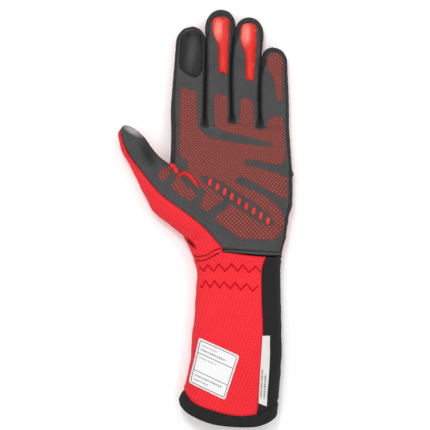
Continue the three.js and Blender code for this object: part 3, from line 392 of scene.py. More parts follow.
# %% Panels from strips
class Panel:
    """One cut piece: strips of points that share their edges, with a flat coordinate in the cloth."""

    def __init__(self):
        self.points, self.normals, self.cloth, self.quads, self.count = [], [], [], [], 0

    def strip(self, surface, cloth=None, flipped=False):
        """Adds a grid of points and normals; flipped turns its faces over."""
        points, normals = surface
        rows, columns = points.shape[:2]
        number = np.arange(rows * columns).reshape(rows, columns) + self.count
        quads = np.stack([number[:-1, :-1], number[1:, :-1], number[1:, 1:], number[:-1, 1:]], -1)
        quads = quads.reshape(-1, 4)
        self.quads.append(quads[:, ::-1] if flipped else quads)
        cloth = points[..., :2] if cloth is None else cloth
        for store, value in ((self.points, points), (self.normals, normals), (self.cloth, cloth)):
            store.append(value.reshape(rows * columns, -1))
        self.count += rows * columns
        return self

    def welded(self, seams=None):
        """Joins points at the same place and finds the border, or takes the points of its seams."""
        points = np.concatenate(self.points)
        _, first, inverse = np.unique(np.round(points * 500).astype(int), axis=0, return_index=True,
                                      return_inverse=True)
        self.p, self.n = points[first], np.concatenate(self.normals)[first]
        self.c = np.concatenate(self.cloth)[first]
        quads = inverse.reshape(-1)[np.concatenate(self.quads)]
        faces = [list(dict.fromkeys(quad)) for quad in quads.tolist()]
        self.faces = [face for face in faces if len(face) > 2]
        sides = {}
        for face in self.faces:
            for a, b in zip(face, face[1:] + face[:1]):
                sides[(a, b)] = True
        self.border = [(a, b) for a, b in sides if (b, a) not in sides]
        seams = self.p[[a for a, _ in self.border]] if seams is None else seams
        self.seam = nearest(tree_of(seams), self.p)[1]
        return self


def seam_profile(distance, depth, swell):
    """Height of cloth beside a seam: it turns down at the border and swells a little further in."""
    return swell * np.exp(-((distance - 3.2) / 1.7) ** 2) - depth * np.exp(-((distance / 1.25) ** 2))


DRIFT_SIZE, DRIFT_SEED = 17, 3


def drift(points):
    """A slow, smooth unevenness of handmade cloth, between about -1 and 1."""
    rng = np.random.default_rng(DRIFT_SEED)
    total = np.zeros(points.shape[:-1])
    for _ in range(7):
        way = rng.normal(size=3)
        way *= 2 * np.pi / (DRIFT_SIZE * np.linalg.norm(way) * rng.uniform(0.7, 1.6))
        total += np.sin(points @ way + rng.uniform(0, 6.28))
    return total / 3.2


def dressing(points, seam, depth, swell, uneven):
    """Height of the outer face over the form: the profile of its seams and a slow unevenness between them."""
    return seam_profile(seam, depth, swell) + uneven * drift(points) * ease(seam / 4)


def ring_quads(start, rings, sides):
    """Faces between rings of points that follow each other, from the number of the first point."""
    number = start + np.arange(rings * sides).reshape(rings, sides)
    turned = np.roll(number, -1, 1)
    return np.stack([number[:-1], turned[:-1], turned[1:], number[1:]], -1).reshape(-1, 4).tolist()


def mesh_piece(name, points, faces, material, attributes=None, sharp=50):
    """A smooth shaded mesh object from points in pattern millimetres, hard at edges over the sharp angle."""
    mesh = bpy.data.meshes.new(name)
    mesh.from_pydata((points * MM + ORIGIN * MM).tolist(), [], faces)
    for key, values in (attributes or {}).items():
        kind = "FLOAT" if values.ndim == 1 else "FLOAT_VECTOR"
        layer = mesh.attributes.new(key, kind, "POINT")
        values = values if values.ndim == 1 else np.pad(values, ((0, 0), (0, 3 - values.shape[1])))
        layer.data.foreach_set("value" if kind == "FLOAT" else "vector", values.astype(np.float32).ravel())
    mesh.shade_smooth()
    if sharp:
        mesh.set_sharp_from_angle(angle=math.radians(sharp))
    mesh.materials.append(material)
    piece = bpy.data.objects.new(name, mesh)
    bpy.context.scene.collection.objects.link(piece)
    return piece


def wall_piece(name, panel, material, depth=0.9, swell=0.35, uneven=0.12, extra=None, wall=WALL):
    """A panel as a closed wall: dressed outside, plain inside."""
    height = dressing(panel.p, panel.seam, depth, swell, uneven)
    if extra is not None:
        height = height + extra(panel)
    outer = panel.p + panel.n * height[:, None]
    inner = panel.p - panel.n * (wall - np.minimum(0, height))[:, None]
    count = len(outer)
    faces = list(panel.faces) + [[k + count for k in reversed(face)] for face in panel.faces]
    faces += [[b, a, a + count, b + count] for a, b in panel.border]
    keep = dict(cloth=np.concatenate([panel.c, panel.c]), seam=np.concatenate([panel.seam, panel.seam]))
    piece = mesh_piece(name, np.concatenate([outer, inner]), faces, material, keep)
    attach(piece, "root")
    print(name, len(faces), "faces")
    return piece


# %% [markdown]
# ## Shader maths
# Each finish is a procedural material, written as Python expressions. A small class wraps a socket, so that
# adding or multiplying two of them adds the Math node that does it.

# %% Sockets and finishes
class Value:
    """A shader value that can be used in an expression."""

    def __init__(self, finish, socket):
        self.finish, self.socket = finish, socket

    def math(self, operation, *others, first=None):
        """A Math node with this value as its first input, or with another one before it."""
        inputs = [self if first is None else first, *others]
        return self.finish.node("ShaderNodeMath", {"operation": operation}, *inputs)

    def __add__(self, other):
        return self.math("ADD", other)

    def __mul__(self, other):
        return self.math("MULTIPLY", other)

    def __sub__(self, other):
        return self.math("SUBTRACT", other)

    def __rsub__(self, other):
        return self.math("SUBTRACT", self, first=other)

    def __truediv__(self, other):
        return self.math("DIVIDE", other)

    __radd__, __rmul__ = __add__, __mul__

    def clamp(self, low=0.0, high=1.0):
        return self.math("MAXIMUM", low).math("MINIMUM", high)

    def above(self, edge, soft):
        """0 below the edge and 1 above it, with a soft step."""
        return self.finish.node("ShaderNodeMapRange", {"interpolation_type": "SMOOTHSTEP"}, self,
                                edge - soft, edge + soft, 0.0, 1.0)


class Finish:
    """A material and its nodes."""

    def __init__(self, name, **constants):
        self.material = bpy.data.materials.new(name)
        self.material.use_nodes = True
        self.tree = self.material.node_tree
        self.shader = self.tree.nodes["Principled BSDF"]
        for key, value in constants.items():
            self.shader.inputs[key.replace("_", " ")].default_value = value

    def node(self, kind, settings=None, *inputs, out=0, **named):
        """A node from its settings and the values or links of its sockets; None leaves a socket alone."""
        made = self.tree.nodes.new(kind)
        for key, value in (settings or {}).items():
            setattr(made, key, value)
        for key, value in [*enumerate(inputs), *named.items()]:
            socket = made.inputs[key if isinstance(key, int) else key.replace("_", " ")]
            if isinstance(value, Value):
                self.tree.links.new(value.socket, socket)
            elif value is not None:
                socket.default_value = (*value, 1.0) if socket.type == "RGBA" else value
        return Value(self, made.outputs[out])

    def stored(self, name, out="Vector"):
        """A value that is stored on the mesh."""
        return self.node("ShaderNodeAttribute", {"attribute_name": name}, out=out)

    def place(self):
        """Place on the glove in millimetres."""
        where = self.node("ShaderNodeTexCoord", out="Object")
        return self.node("ShaderNodeVectorMath", {"operation": "SCALE"}, where, Scale=1000.0)

    def parts(self, vector):
        """The x, y and z of a vector."""
        x = self.node("ShaderNodeSeparateXYZ", None, vector)
        return [Value(self, socket) for socket in x.socket.node.outputs]

    def noise(self, vector, size, detail=2.0, roughness=0.5):
        """Soft noise between 0 and 1, with spots of about the size given."""
        return self.node("ShaderNodeTexNoise", None, out="Fac", Vector=vector, Scale=1.0 / size,
                         Detail=detail, Roughness=roughness)

    def between(self, first, second, share):
        """A colour between two colours."""
        others = [None] * 5  # the sockets of a Mix node that mix numbers and vectors
        return self.node("ShaderNodeMix", {"data_type": "RGBA"}, share, *others, first, second, out=2)

    def set(self, **links):
        """Links the sockets of the shader that vary, and returns the material."""
        for key, value in links.items():
            self.tree.links.new(value.socket, self.shader.inputs[key.replace("_", " ")])
        return self.material

    def bump(self, height, depth_mm):
        """A bump from a height between 0 and 1 that stands for so many millimetres."""
        return self.node("ShaderNodeBump", None, Strength=1.0, Distance=depth_mm * MM, Height=height)


def wave(value, pitch, shift=0.0):
    """0 to 1 and back with each pitch of a value."""
    return (value * (2 * math.pi / pitch) + shift).math("SINE") * 0.5 + 0.5


# %% [markdown]
# ## Finishes
# Suede is buffed leather: matt, with a nap that lies darker or paler in patches, and paler where a seam lifts
# it, which is a painted highlight with some wear. The red knit has rows of small staggered holes. Its holes
# are real dents in the mesh, made by the same formula that paints shade into them here, so that both always
# agree.
# The coordinate `cloth` is the place in the flat panel.

# %% Knit pattern
HOLE_PITCH = 2.8  # between holes of a row
HOLE_ROWS = 4.6  # between a row and the one after the next
HOLE_SLANT = 0.3
HOLE_DEPTH = 0.16


def knit_hole(u, v):
    """1 in the middle of a hole of the knit and 0 between the holes."""
    along_row = np.cos(2 * np.pi * (u + v * HOLE_SLANT) / HOLE_PITCH)
    level = 0.5 + 0.5 * along_row * np.cos(2 * np.pi * v / HOLE_ROWS)
    return ease((level - 0.72) / 0.26)


# %% Suede, knit and cloths
def oval(f, place, x, y, length, width, turn):
    """Distance from the middle of an oval of the plan, 1 on its border."""
    at_x, at_y, _ = f.parts(place)
    way = (math.cos(math.radians(turn)), math.sin(math.radians(turn)))
    along = ((at_x - x) * way[0] + (at_y - y) * way[1]) * (1 / length)
    across_it = ((at_y - y) * way[0] - (at_x - x) * way[1]) * (1 / width)
    return (along * along + across_it * across_it).math("SQRT")


THUMB_TIP_HIGHLIGHT = (-57.8, 70.2, 9.5, 3.4, -30)  # painted highlight at the thumb tip, which is also less rough: x, y, half length, half width, turn
THUMB_HOLLOW_SHADE = (-45.4, 51, 12.5, 5.2, 116)  # painted shade in the hollow of the thumb
TIP_TUCK_SHADE = (-8.8, 149.6, 4.4, 1.5, -4)  # painted shade in the tuck at the tip of the index finger
INDEX_END_HIGHLIGHT = (-11.2, 134, 26, 14.5, 92)  # painted highlight on the lit edges at the end of the index finger


def suede(name, dark, light, shine):
    """Buffed leather: a mottled nap, a painted highlight beside its seams, and painted highlights and shade
    in the ovals.
    """
    f = Finish(name, Specular_IOR_Level=0.3)
    place = f.place()
    nap = f.noise(place, 11.0, 3.0).above(0.5, 0.22)
    grain = f.noise(place, 0.5, 2.0, 0.65)
    mottle = f.noise(place, 2.6, 3.0)
    seam = f.stored("seam", "Fac")
    # Paler beside the seams: a painted highlight where the seam allowance lifts the suede, with some wear.
    seam_highlight_and_wear = (1 - seam.above(2.4, 1.5)) * seam.above(1.0, 0.6)
    # Painted highlight on the thumb tip; the same mask lowers the roughness there.
    thumb_tip_highlight = (1 - oval(f, place, *THUMB_TIP_HIGHLIGHT).above(0.7, 0.6)) * (mottle * 0.6 + 0.6)
    # Painted shade in the hollow of the thumb.
    hollow_shade = 1 - oval(f, place, *THUMB_HOLLOW_SHADE).above(0.7, 0.65)
    shade = (nap * 0.3 + grain * 0.6 + mottle * 0.4 - 0.15).clamp()
    # Painted highlight: the seam edges at the end of the index finger are lit paler.
    wear_and_highlight = 1 - oval(f, place, *INDEX_END_HIGHLIGHT).above(0.85, 0.3)
    colour = f.between(f.between(dark, light, shade), tuple(c * 1.9 for c in light),
                       seam_highlight_and_wear * (wear_and_highlight * 0.5 + 0.3))
    # Painted shade in the tuck at the index fingertip and in the thumb's hollow.
    tuck_shade = 1 - oval(f, place, *TIP_TUCK_SHADE).above(0.7, 0.5)
    colour = f.between(colour, tuple(c * 0.4 for c in dark), (hollow_shade + tuck_shade).clamp() * 0.85)
    colour = f.between(colour, shine, thumb_tip_highlight * 0.82)
    return f.set(Base_Color=colour, Roughness=0.9 - thumb_tip_highlight * 0.4,
                 Normal=f.bump(grain + f.noise(place, 0.22, 2.0) * 0.5, 0.09))


CREASE_SHADE = (-11.6, -19.4, 7.4, 1.8, -48)  # painted shade in the tuck at the wrist below the thumb
LOW_CUFF = (-92, 46)  # y round which the cuff gets darker, and over how far


def knit(name, colour, deep):
    """Red knit with painted shade in its holes, between its ribs and in the crease."""
    f = Finish(name, Roughness=0.78, Specular_IOR_Level=0.22)
    u, v, _ = f.parts(f.stored("cloth"))
    slanted = u + v * HOLE_SLANT
    level = ((slanted * (2 * math.pi / HOLE_PITCH)).math("COSINE")
             * (v * (2 * math.pi / HOLE_ROWS)).math("COSINE") * 0.5 + 0.5)
    hole = level.above(0.83, 0.16)
    ridge = 1 - level.above(0.3, 0.3)
    rib = wave(u, 0.55) * 0.6 + wave(v + wave(u, 1.1) * 0.2, 0.5) * 0.4
    patch = f.noise(f.place(), 14.0, 2.0)
    seam = f.stored("seam", "Fac")
    low = 1 - f.parts(f.place())[1].above(*LOW_CUFF)
    # Painted shade in the holes and between the ribs, paler ridges between holes; also darker in patches,
    # towards the bottom of the cuff and at the seams.
    shade = hole * 0.46 + (1 - rib) * 0.1 - ridge * 0.08 + patch * 0.16 + low * 0.13
    shade = (shade + (1 - seam.above(0.7, 0.6)) * 0.55).clamp()
    # Painted shade in the crease at the wrist below the thumb.
    tuck_shade = 1 - oval(f, f.place(), *CREASE_SHADE).above(0.75, 0.5)
    colour = f.between(f.between(colour, deep, shade), tuple(c * 0.4 for c in deep), tuck_shade * 0.9)
    return f.set(Base_Color=colour, Normal=f.bump(rib - hole * 0.6, 0.13))


def ribbed_cloth(name, dark, light, pitch=0.6, turn=0.0):
    """Black cloth with fine ribs, turned in the panel by an angle."""
    f = Finish(name, Roughness=0.85, Specular_IOR_Level=0.25)
    u, v, _ = f.parts(f.stored("cloth"))
    along = u * math.cos(turn) + v * math.sin(turn)
    beside = v * math.cos(turn) - u * math.sin(turn)
    rib = wave(along, pitch) * 0.7 + wave(beside, pitch * 0.8) * 0.3
    dust = f.noise(f.place(), 6.0, 3.0)
    shade = (rib * 0.55 + dust * 0.5 - 0.05).clamp()
    return f.set(Base_Color=f.between(dark, light, shade), Normal=f.bump(rib, 0.1))


# The last colour is the painted highlight at the thumb tip.
SUEDE = suede("suede", (0.0386, 0.0384, 0.0394), (0.067, 0.0668, 0.0685), (0.46, 0.445, 0.44))
RED = knit("red knit", (0.87, 0.026, 0.038), (0.44, 0.003, 0.01))
BLACK = ribbed_cloth("black stretch cloth", (0.018, 0.0175, 0.0185), (0.046, 0.045, 0.0465))
CUFF_BLACK = ribbed_cloth("black cuff cloth", (0.006, 0.0057, 0.0063), (0.018, 0.017, 0.0185), 0.7)
HEM_BLACK = ribbed_cloth("black binding", (0.006, 0.0058, 0.0055), (0.018, 0.0172, 0.0165), 0.8, math.pi / 4)


# %% Leather, rubber, print and label
PAD_SHEEN = (-10.8, 132.5, 19, 5, 81)  # painted sheen where the pad bends over the fingertip


def touch_leather():
    """Smooth dark leather with fine cells, a painted sheen over the fingertip and painted shade in the tuck
    at its tip.
    """
    f = Finish("touch leather", Specular_IOR_Level=0.18)
    place = f.place()
    cells = f.node("ShaderNodeTexVoronoi", {"feature": "DISTANCE_TO_EDGE"}, Vector=place, Scale=1.6)
    grain = cells.above(0.08, 0.08)
    sheen = f.noise(place, 5.0, 2.0)
    # Painted sheen where the pad bends over the fingertip; the paler colour below is that sheen.
    painted_pad_sheen = 1 - oval(f, place, *PAD_SHEEN).above(0.62, 0.6)
    colour = f.between((0.008, 0.0075, 0.0085), (0.018, 0.017, 0.019), sheen)
    colour = f.between(colour, (0.046, 0.045, 0.0475), painted_pad_sheen)
    # Painted shade in the tuck at the tip of the pad.
    tuck_shade = 1 - oval(f, place, *TIP_TUCK_SHADE).above(0.7, 0.5)
    colour = f.between(colour, (0.002, 0.002, 0.002), tuck_shade * 0.9)
    return f.set(Base_Color=colour, Roughness=sheen * 0.2 + 0.36, Normal=f.bump(grain, 0.03))


# Painted highlights where the patches bend over the fingertips
HEAD_HIGHLIGHTS = [(9.8, 150.5, 11.5, 4.6, 88), (32.2, 147.4, 12, 5.2, 86)]


def rubber(name, colour, deep, coat=0.5):
    """Satin rubber, with a painted highlight where it bends over a fingertip."""
    f = Finish(name, Specular_IOR_Level=0.05, Coat_Weight=coat, Coat_Roughness=0.34)
    place = f.place()
    fine = f.noise(place, 0.6, 2.0)
    patch = f.noise(place, 7.0, 2.0)
    colour = f.between(colour, deep, patch * 0.35)
    # Painted highlights on the heads of the patches.
    for head in HEAD_HIGHLIGHTS:
        colour = f.between(colour, (0.93, 0.24, 0.17), (1 - oval(f, place, *head).above(0.6, 0.55)) * 0.72)
    return f.set(Base_Color=colour, Roughness=patch * 0.12 + 0.5, Normal=f.bump(fine, 0.015))


def print_film():
    """The print between its dots: crossing diagonal lines of red ink, with the suede showing between them."""
    f = Finish("grip print", Roughness=0.7, Specular_IOR_Level=0.25)
    x, y, _ = f.parts(f.stored("cloth"))
    turn_x, turn_y = x * (2 * math.pi / DOT_PITCH), y * (2 * math.pi / DOT_ROWS)
    line = (turn_x + turn_y).math("COSINE").math("MAXIMUM", (turn_x - turn_y).math("COSINE"))
    ink = line.above(0.35, 0.45)
    patch = f.noise(f.place(), 9.0, 2.0)
    red = f.between((0.19, 0.02, 0.017), (0.26, 0.032, 0.026), patch)
    return f.set(Base_Color=f.between((0.078, 0.036, 0.034), red, ink), Normal=f.bump(ink, 0.12))


def print_dots():
    """The raised dots of the print, paler than its film: partly their own tone and partly a painted highlight
    on the domes.
    """
    f = Finish("grip dots", Roughness=0.6, Specular_IOR_Level=0.25)
    tint = f.noise(f.place(), 4.0, 2.0)
    # Paler than the film: partly the print's tone, partly a painted highlight on the domes.
    return f.set(Base_Color=f.between((0.5, 0.15, 0.09), (0.4, 0.14, 0.09), tint),
                 Normal=f.bump(f.noise(f.place(), 0.5, 2.0), 0.02))


def lines_of_marks(place_u, place_v, rows):
    """Rows of small grey marks such as fine print makes from afar."""
    total = None
    marks = (wave(place_u, 1.9) * 0.6 + wave(place_u, 0.83, 1.0) * 0.4).above(0.42, 0.16)
    for v, first, last, half, strength in rows:
        row = (1 - (place_v - v).math("ABSOLUTE").above(half, 0.12)) * strength
        row = row * place_u.above(first, 0.1) * (1 - place_u.above(last, 0.1)) * marks
        total = row if total is None else total.math("MAXIMUM", row)
    return total


def label_cloth(name, ruled, pale, wear_and_highlight):
    """White woven tape; on the ruled one are a border and two dividers, in grey, with rows of marks."""
    f = Finish(name, Roughness=0.62, Specular_IOR_Level=0.3)
    u, v, _ = f.parts(f.stored("cloth"))
    weave = wave(u, 0.42) * 0.5 + wave(v, 0.34) * 0.5
    soil = f.noise(f.place(), 8.0, 3.0)
    white = f.between(pale, wear_and_highlight, (weave * 0.35 + soil * 0.5).clamp())
    if ruled:
        beyond = []
        for value, size in ((u, LABEL_SIZE[0]), (v, LABEL_SIZE[1])):
            from_middle = (value - size / 2).math("ABSOLUTE")
            beyond.append((from_middle - (size / 2 - LABEL_BORDER - LABEL_ROUND)).math("MAXIMUM", 0.0))
        edge = (beyond[0] * beyond[0] + beyond[1] * beyond[1]).math("SQRT") - LABEL_ROUND
        ink = 1 - edge.math("ABSOLUTE").above(0.34, 0.14)
        for row in LABEL_ROWS:
            line = (1 - (v - row).math("ABSOLUTE").above(0.3, 0.14)) * (1 - edge.above(0.0, 0.1))
            ink = ink.math("MAXIMUM", line)
        ink = ink.math("MAXIMUM", lines_of_marks(u, v, LABEL_MARKS))
    else:
        ink = lines_of_marks(v, u, TAG_MARKS)
    return f.set(Base_Color=f.between(white, (0.06, 0.058, 0.06), ink * 0.9), Normal=f.bump(weave, 0.05))


def thread(name, colour, pale):
    """Twisted sewing thread."""
    f = Finish(name, Roughness=0.75, Specular_IOR_Level=0.12)
    x, y, z = f.parts(f.place())
    twist = wave(x + y * 0.9 + z, 0.45)
    return f.set(Base_Color=f.between(colour, pale, twist), Normal=f.bump(twist, 0.05))


DOT_PITCH = 3.3  # between dots of a row
DOT_ROWS = 3.4  # between a row and the one after the next
LABEL_SIZE = (34.0, 37.0)
LABEL_BORDER, LABEL_ROUND = 1.6, 1.3  # inset of its border and radius of the border's corners
LABEL_ROWS = (11.4, 25.4)  # its dividers
# v, first u, last u, half height and strength of each row of marks
LABEL_MARKS = [(4.8, 3.2, 17, 0.55, 0.75), (8.1, 2.8, 25, 0.7, 0.9), (14.4, 3.2, 19, 0.55, 0.7),
               (28.8, 3.2, 28, 0.7, 0.9), (32.2, 3.2, 17, 0.6, 0.85)]
TAG_MARKS = [(1.6, 27, 50, 0.7, 1.0), (4.3, 31, 50, 0.7, 1.0)]
LEATHER = touch_leather()
RUBBER = rubber("red rubber", (0.62, 0.01, 0.004), (0.54, 0.006, 0.002))
FILM, DOTS = print_film(), print_dots()
TUCK = rubber("printed tuck", (0.5, 0.024, 0.022), (0.26, 0.016, 0.014), 0.1)
RULED = label_cloth("ruled label cloth", True, (0.79, 0.79, 0.79), (0.68, 0.68, 0.68))
PLAIN = label_cloth("white tape", False, (0.67, 0.665, 0.64), (0.56, 0.555, 0.53))
RED_THREAD = thread("red thread", (0.4, 0.0015, 0.007), (0.56, 0.003, 0.012))
DEEP_THREAD = thread("deep red thread", (0.15, 0.002, 0.008), (0.27, 0.004, 0.014))
GREY_THREAD = thread("dark thread", (0.012, 0.012, 0.013), (0.04, 0.04, 0.042))
print(len(bpy.data.materials), "finishes")

# %% [markdown]
# ## The palm
# On the real glove the palm, the finger fronts and the thumb front are one cut of suede. It is laid out in
# strips: one down each finger, four down the palm, and two for the thumb. Neighbouring strips share the
# points between them, so the palm is one surface with one border, and that border is the line of its seams.

# %% Shares and strips
FINGER_ROWS = 120
PALM_ROWS = 110
THUMB_ROWS = 64
COLUMNS = 30
TIP_FIRST = 0.004  # the first share down a finger


def even(count):
    """Even shares from 0 to 1."""
    return np.linspace(0, 1, count + 1)


def to_both_ends(count):
    """Shares that lie closer together at both ends."""
    return mix(even(count), (1 - np.cos(np.pi * even(count))) / 2, 0.6)


def to_outline(count):
    """Shares that lie closer together at the last one."""
    return mix(even(count), np.sin(np.pi * even(count) / 2), 0.85)


def finger_downs(count):
    """Shares down a finger, closer together at its round tip and at the crotch."""
    spread = even(count)
    down = mix(spread, ease(spread), 0.35)
    return np.maximum(down, TIP_FIRST)


def across(left, right, shares):
    """Places between two lines of places, at shares of the way."""
    return left[:, None] + (right - left)[:, None] * np.asarray(shares)[..., None]


def palm_lines(side):
    """Five lines from the knuckles to the heel, as functions of the share down."""
    crotches = [finger_side(k, "right", np.array([1.0]))[1][0] for k in range(3)]
    if side > 0:
        foot = heel(np.array([0.12, 0.33, 0.55, 0.77, 1]))
    else:
        foot = np.array([(x, BACK_FOOT_Y) for x in (6, 20, 33, 46, 58)])
    corner = np.array(PALM_CORNER)

    def index_line(t):
        upper_y = mix(KNUCKLE_Y, corner[1] + 2, t / CROTCH_SHARE)
        upper = np.stack([through(flip(INDEX_SIDE), upper_y) + through(INDEX_INSETS, upper_y), upper_y], -1)
        lower = mix(corner, foot[0], ((t - CROTCH_SHARE) / (1 - CROTCH_SHARE))[:, None])
        return np.where((t >= CROTCH_SHARE - 1e-9)[:, None], lower, upper)

    def little_line(t):
        y = mix(KNUCKLE_Y, foot[4][1], t)
        return np.stack([little_x(y) - through(LITTLE_INSETS, y), y], -1)

    def straight(a, b):
        return lambda t: mix(a, b, t[:, None])

    return [index_line, *[straight(a, foot[k + 1]) for k, a in enumerate(crotches)], little_line]


def thumb_share(t):
    """Share along the palm seam, for a share down the thumb."""
    return mix(0.002, SEAM_AT_CROTCH, t)


def heel_share(t):
    """Share along the palm seam, for a share down the palm below the crotch of the thumb."""
    return mix(SEAM_AT_CROTCH, 1, (t - CROTCH_SHARE) / (1 - CROTCH_SHARE))


def thumb_back_seam(share, less=0.0):
    """The seam on the back of the thumb, a little way in from the outline."""
    along = thumb_side(share + 0.01) - thumb_side(share - 0.01)
    inset = (THUMB_BACK_INSET * ease(0.3 + share * 10) - less) / np.linalg.norm(along, axis=-1)
    return thumb_side(share) + np.stack([-along[..., 1], along[..., 0]], -1) * inset[..., None]


def inset_from(edge, towards, amount):
    """Places a little way from an edge towards other places."""
    way = towards - edge
    length = np.linalg.norm(way, axis=-1, keepdims=True)
    return edge + way * np.minimum(0.9, amount / length)


def hand_panel(side, finger_rows, palm_rows, thumb_rows, columns):
    """The palm side or the back of the hand as one panel."""
    panel = Panel()
    back = side < 0
    downs = finger_downs(finger_rows)
    for k in range(4):
        left, right = finger_side(k, "left", downs)[1], finger_side(k, "right", downs)[1]
        place = across(left, right, to_both_ends(columns))
        panel.strip(on_form(place, side), flipped=back)
    lines = palm_lines(side)
    t = even(palm_rows)
    for k in range(4):
        panel.strip(on_form(across(lines[k](t), lines[k + 1](t), to_both_ends(columns)), side), flipped=back)
    border = palm_seam if side > 0 else thumb_back_seam
    rows = even(thumb_rows)
    outer = border(thumb_share(rows))
    inner = inset_from(crotch_side(mix(0.01, 1, rows**0.9)), outer, EDGE_INSET)
    inner[-1] = PALM_CORNER
    shares = mix(to_outline(columns)[None], to_both_ends(columns)[None], rows[:, None] ** 3)
    panel.strip(on_form(outer[:, None] + (inner - outer)[:, None] * shares[..., None], side), flipped=back)
    below = t[t >= CROTCH_SHARE - 1e-9]
    panel.strip(on_form(across(border(heel_share(below)), lines[0](below), to_both_ends(columns)), side),
                flipped=back)
    return panel.welded()


# %% The palm panel
palm = hand_panel(1, FINGER_ROWS, PALM_ROWS, THUMB_ROWS, COLUMNS)
PALM_TREE = tree_of(palm.p[[a for a, _ in palm.border]])
PALM_DEPTH, PALM_SWELL, PALM_UNEVEN = 0.75, 0.3, 0.24
THUMB_INSIDE = tree_of(crotch_side(np.linspace(0, 0.97, 200)))


def palm_depth(points):
    """The palm turns down at its seams, but less inside the thumb, where its border is the outline itself."""
    return mix(0.1, PALM_DEPTH, ease(nearest(THUMB_INSIDE, points[:, :2])[1] / 4))


def palm_pucker(points, seam):
    """Small puckers along the seams."""
    return 0.12 * np.sin(points[:, 1] * 2.1 + points[:, 0] * 0.8) * np.exp(-((seam / 2.4) ** 2))


palm_piece = wall_piece("palm_suede", palm, SUEDE, palm_depth(palm.p), PALM_SWELL, PALM_UNEVEN,
                        extra=lambda panel: palm_pucker(panel.p, panel.seam))
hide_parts("palm_panel")


def on_palm(place):
    """Points and normals on the dressed palm over places of the plan."""
    points, normals = on_form(place, 1)
    seam = nearest(PALM_TREE, points)[1]
    height = dressing(points, seam, palm_depth(points), PALM_SWELL, PALM_UNEVEN) + palm_pucker(points, seam)
    return points + normals * height[..., None], normals


# %% [markdown]
# ## Back of the hand and the side strips
# The back is the same form seen from below, in red knit. Between the fingers runs a black strip from tip to
# crotch and up the next finger. Each row of a strip goes over the rolled edge from the front seam to the back
# seam.

# %% Rows over the edge
def roll_steps(inset, roll, count):
    """Distances in from the outline, closer together where the edge rolls over."""
    widest = np.arccos((1 - np.clip(inset / roll, 0, 1)) ** (EDGE_POWER / 2))
    angle = widest[:, None] * (1 - np.linspace(0, 1, count + 1))[None]
    steps = roll[:, None] * (1 - np.cos(angle) ** (2 / EDGE_POWER))
    steps = np.minimum(inset[:, None], steps)
    steps[:, 0] = inset
    return steps


def over_edge(edge, front, back, front_steps, back_steps):
    """Rows over the edge, from front seam places round the outline to back seam places."""
    roll = form_at(edge[:, 0], edge[:, 1])[1]
    parts = []
    for seam, side, count in ((front, 1, front_steps), (back, -1, back_steps)):
        reach = np.linalg.norm(seam - edge, axis=1)
        inward = (seam - edge) / reach[:, None]
        insets = roll_steps(reach, roll, count)
        place = edge[:, None] + inward[:, None] * insets[..., None]
        points, normals = on_form(place, side, (insets, np.broadcast_to(inward[:, None], place.shape)))
        parts.append((points, normals) if side > 0 else (points[:, ::-1][:, 1:], normals[:, ::-1][:, 1:]))
    return tuple(np.concatenate([a, b], 1) for a, b in zip(*parts))


def cloth_of(points):
    """Flat coordinates of a strip: across its rows, and down along its middle, in millimetres."""
    steps = np.linalg.norm(np.diff(points, axis=1), axis=2)
    u = np.concatenate([np.zeros((len(points), 1)), np.cumsum(steps, 1)], 1)
    middle = points[:, points.shape[1] // 2]
    v = np.repeat(lengths(middle)[:, None], points.shape[1], 1)
    return np.stack([u, v], -1)


EDGE_STEPS = 9
WALL_DOWNS = np.concatenate([[0.00005, 0.002], finger_downs(FINGER_ROWS)[1:]])


def finger_wall(number, side, downs):
    """Rows of a strip over one side of a finger."""
    edge, seam = finger_side(number, side, downs)
    near = inset_from(seam, edge, STRIP_GAP)
    return over_edge(edge, near, near, EDGE_STEPS, EDGE_STEPS)


def hand_wall(edge, sign, rows):
    """Rows of a strip over an outer side of the hand."""
    seam = edge + sign * np.stack([through(rows, edge[:, 1]) - STRIP_GAP, 0 * edge[:, 1]], -1)
    return over_edge(edge, seam, seam, EDGE_STEPS, EDGE_STEPS)


def joined(*parts):
    """Rows that follow each other, as one strip."""
    return tuple(np.concatenate(pieces) for pieces in zip(*parts))


def ripple(panel):
    """Small gathers across a strip, deepest at its seams."""
    u, v = panel.c[:, 0], panel.c[:, 1]
    return (0.2 * np.sin(v * 2 * np.pi / 2.9 + np.sin(v * 0.37)) * np.exp(-panel.seam / 2.6)
            + 0.04 * np.sin(v * 2 * np.pi / 7.3 + u * 0.3) + 0.34 * ease((panel.seam - 0.5) / 3))


def crowded(panel):
    """Between two fingers the strip is pushed out until its halves touch."""
    return ripple(panel) + 0.4 * ease(panel.seam / 1.3)


BULGES = [(35.4, 1.9, 1.1), (9.0, 3.0, 0.5), (-3.0, 2.6, 0.45), (-16.0, 3.0, 0.5)]  # y, half length, height


def little_bulges(panel):
    """Ends of seam allowances that push the strip out below the little finger."""
    x, y = panel.p[:, 0], panel.p[:, 1]
    total = sum(rise * np.exp(-((y - at) / half) ** 2) for at, half, rise in BULGES)
    return ripple(panel) + total * ease((x - 60) / 3)


def strip_piece(name, surface, node, extra=ripple):
    """A black strip whose seams are its long sides."""
    long_sides = np.concatenate([surface[0][:, 0], surface[0][:, -1]])
    panel = Panel().strip(surface, cloth_of(surface[0])).welded(long_sides)
    piece = wall_piece(name, panel, BLACK, depth=0.4, swell=0.1, uneven=0.04, extra=extra)
    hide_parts(node)
    return piece


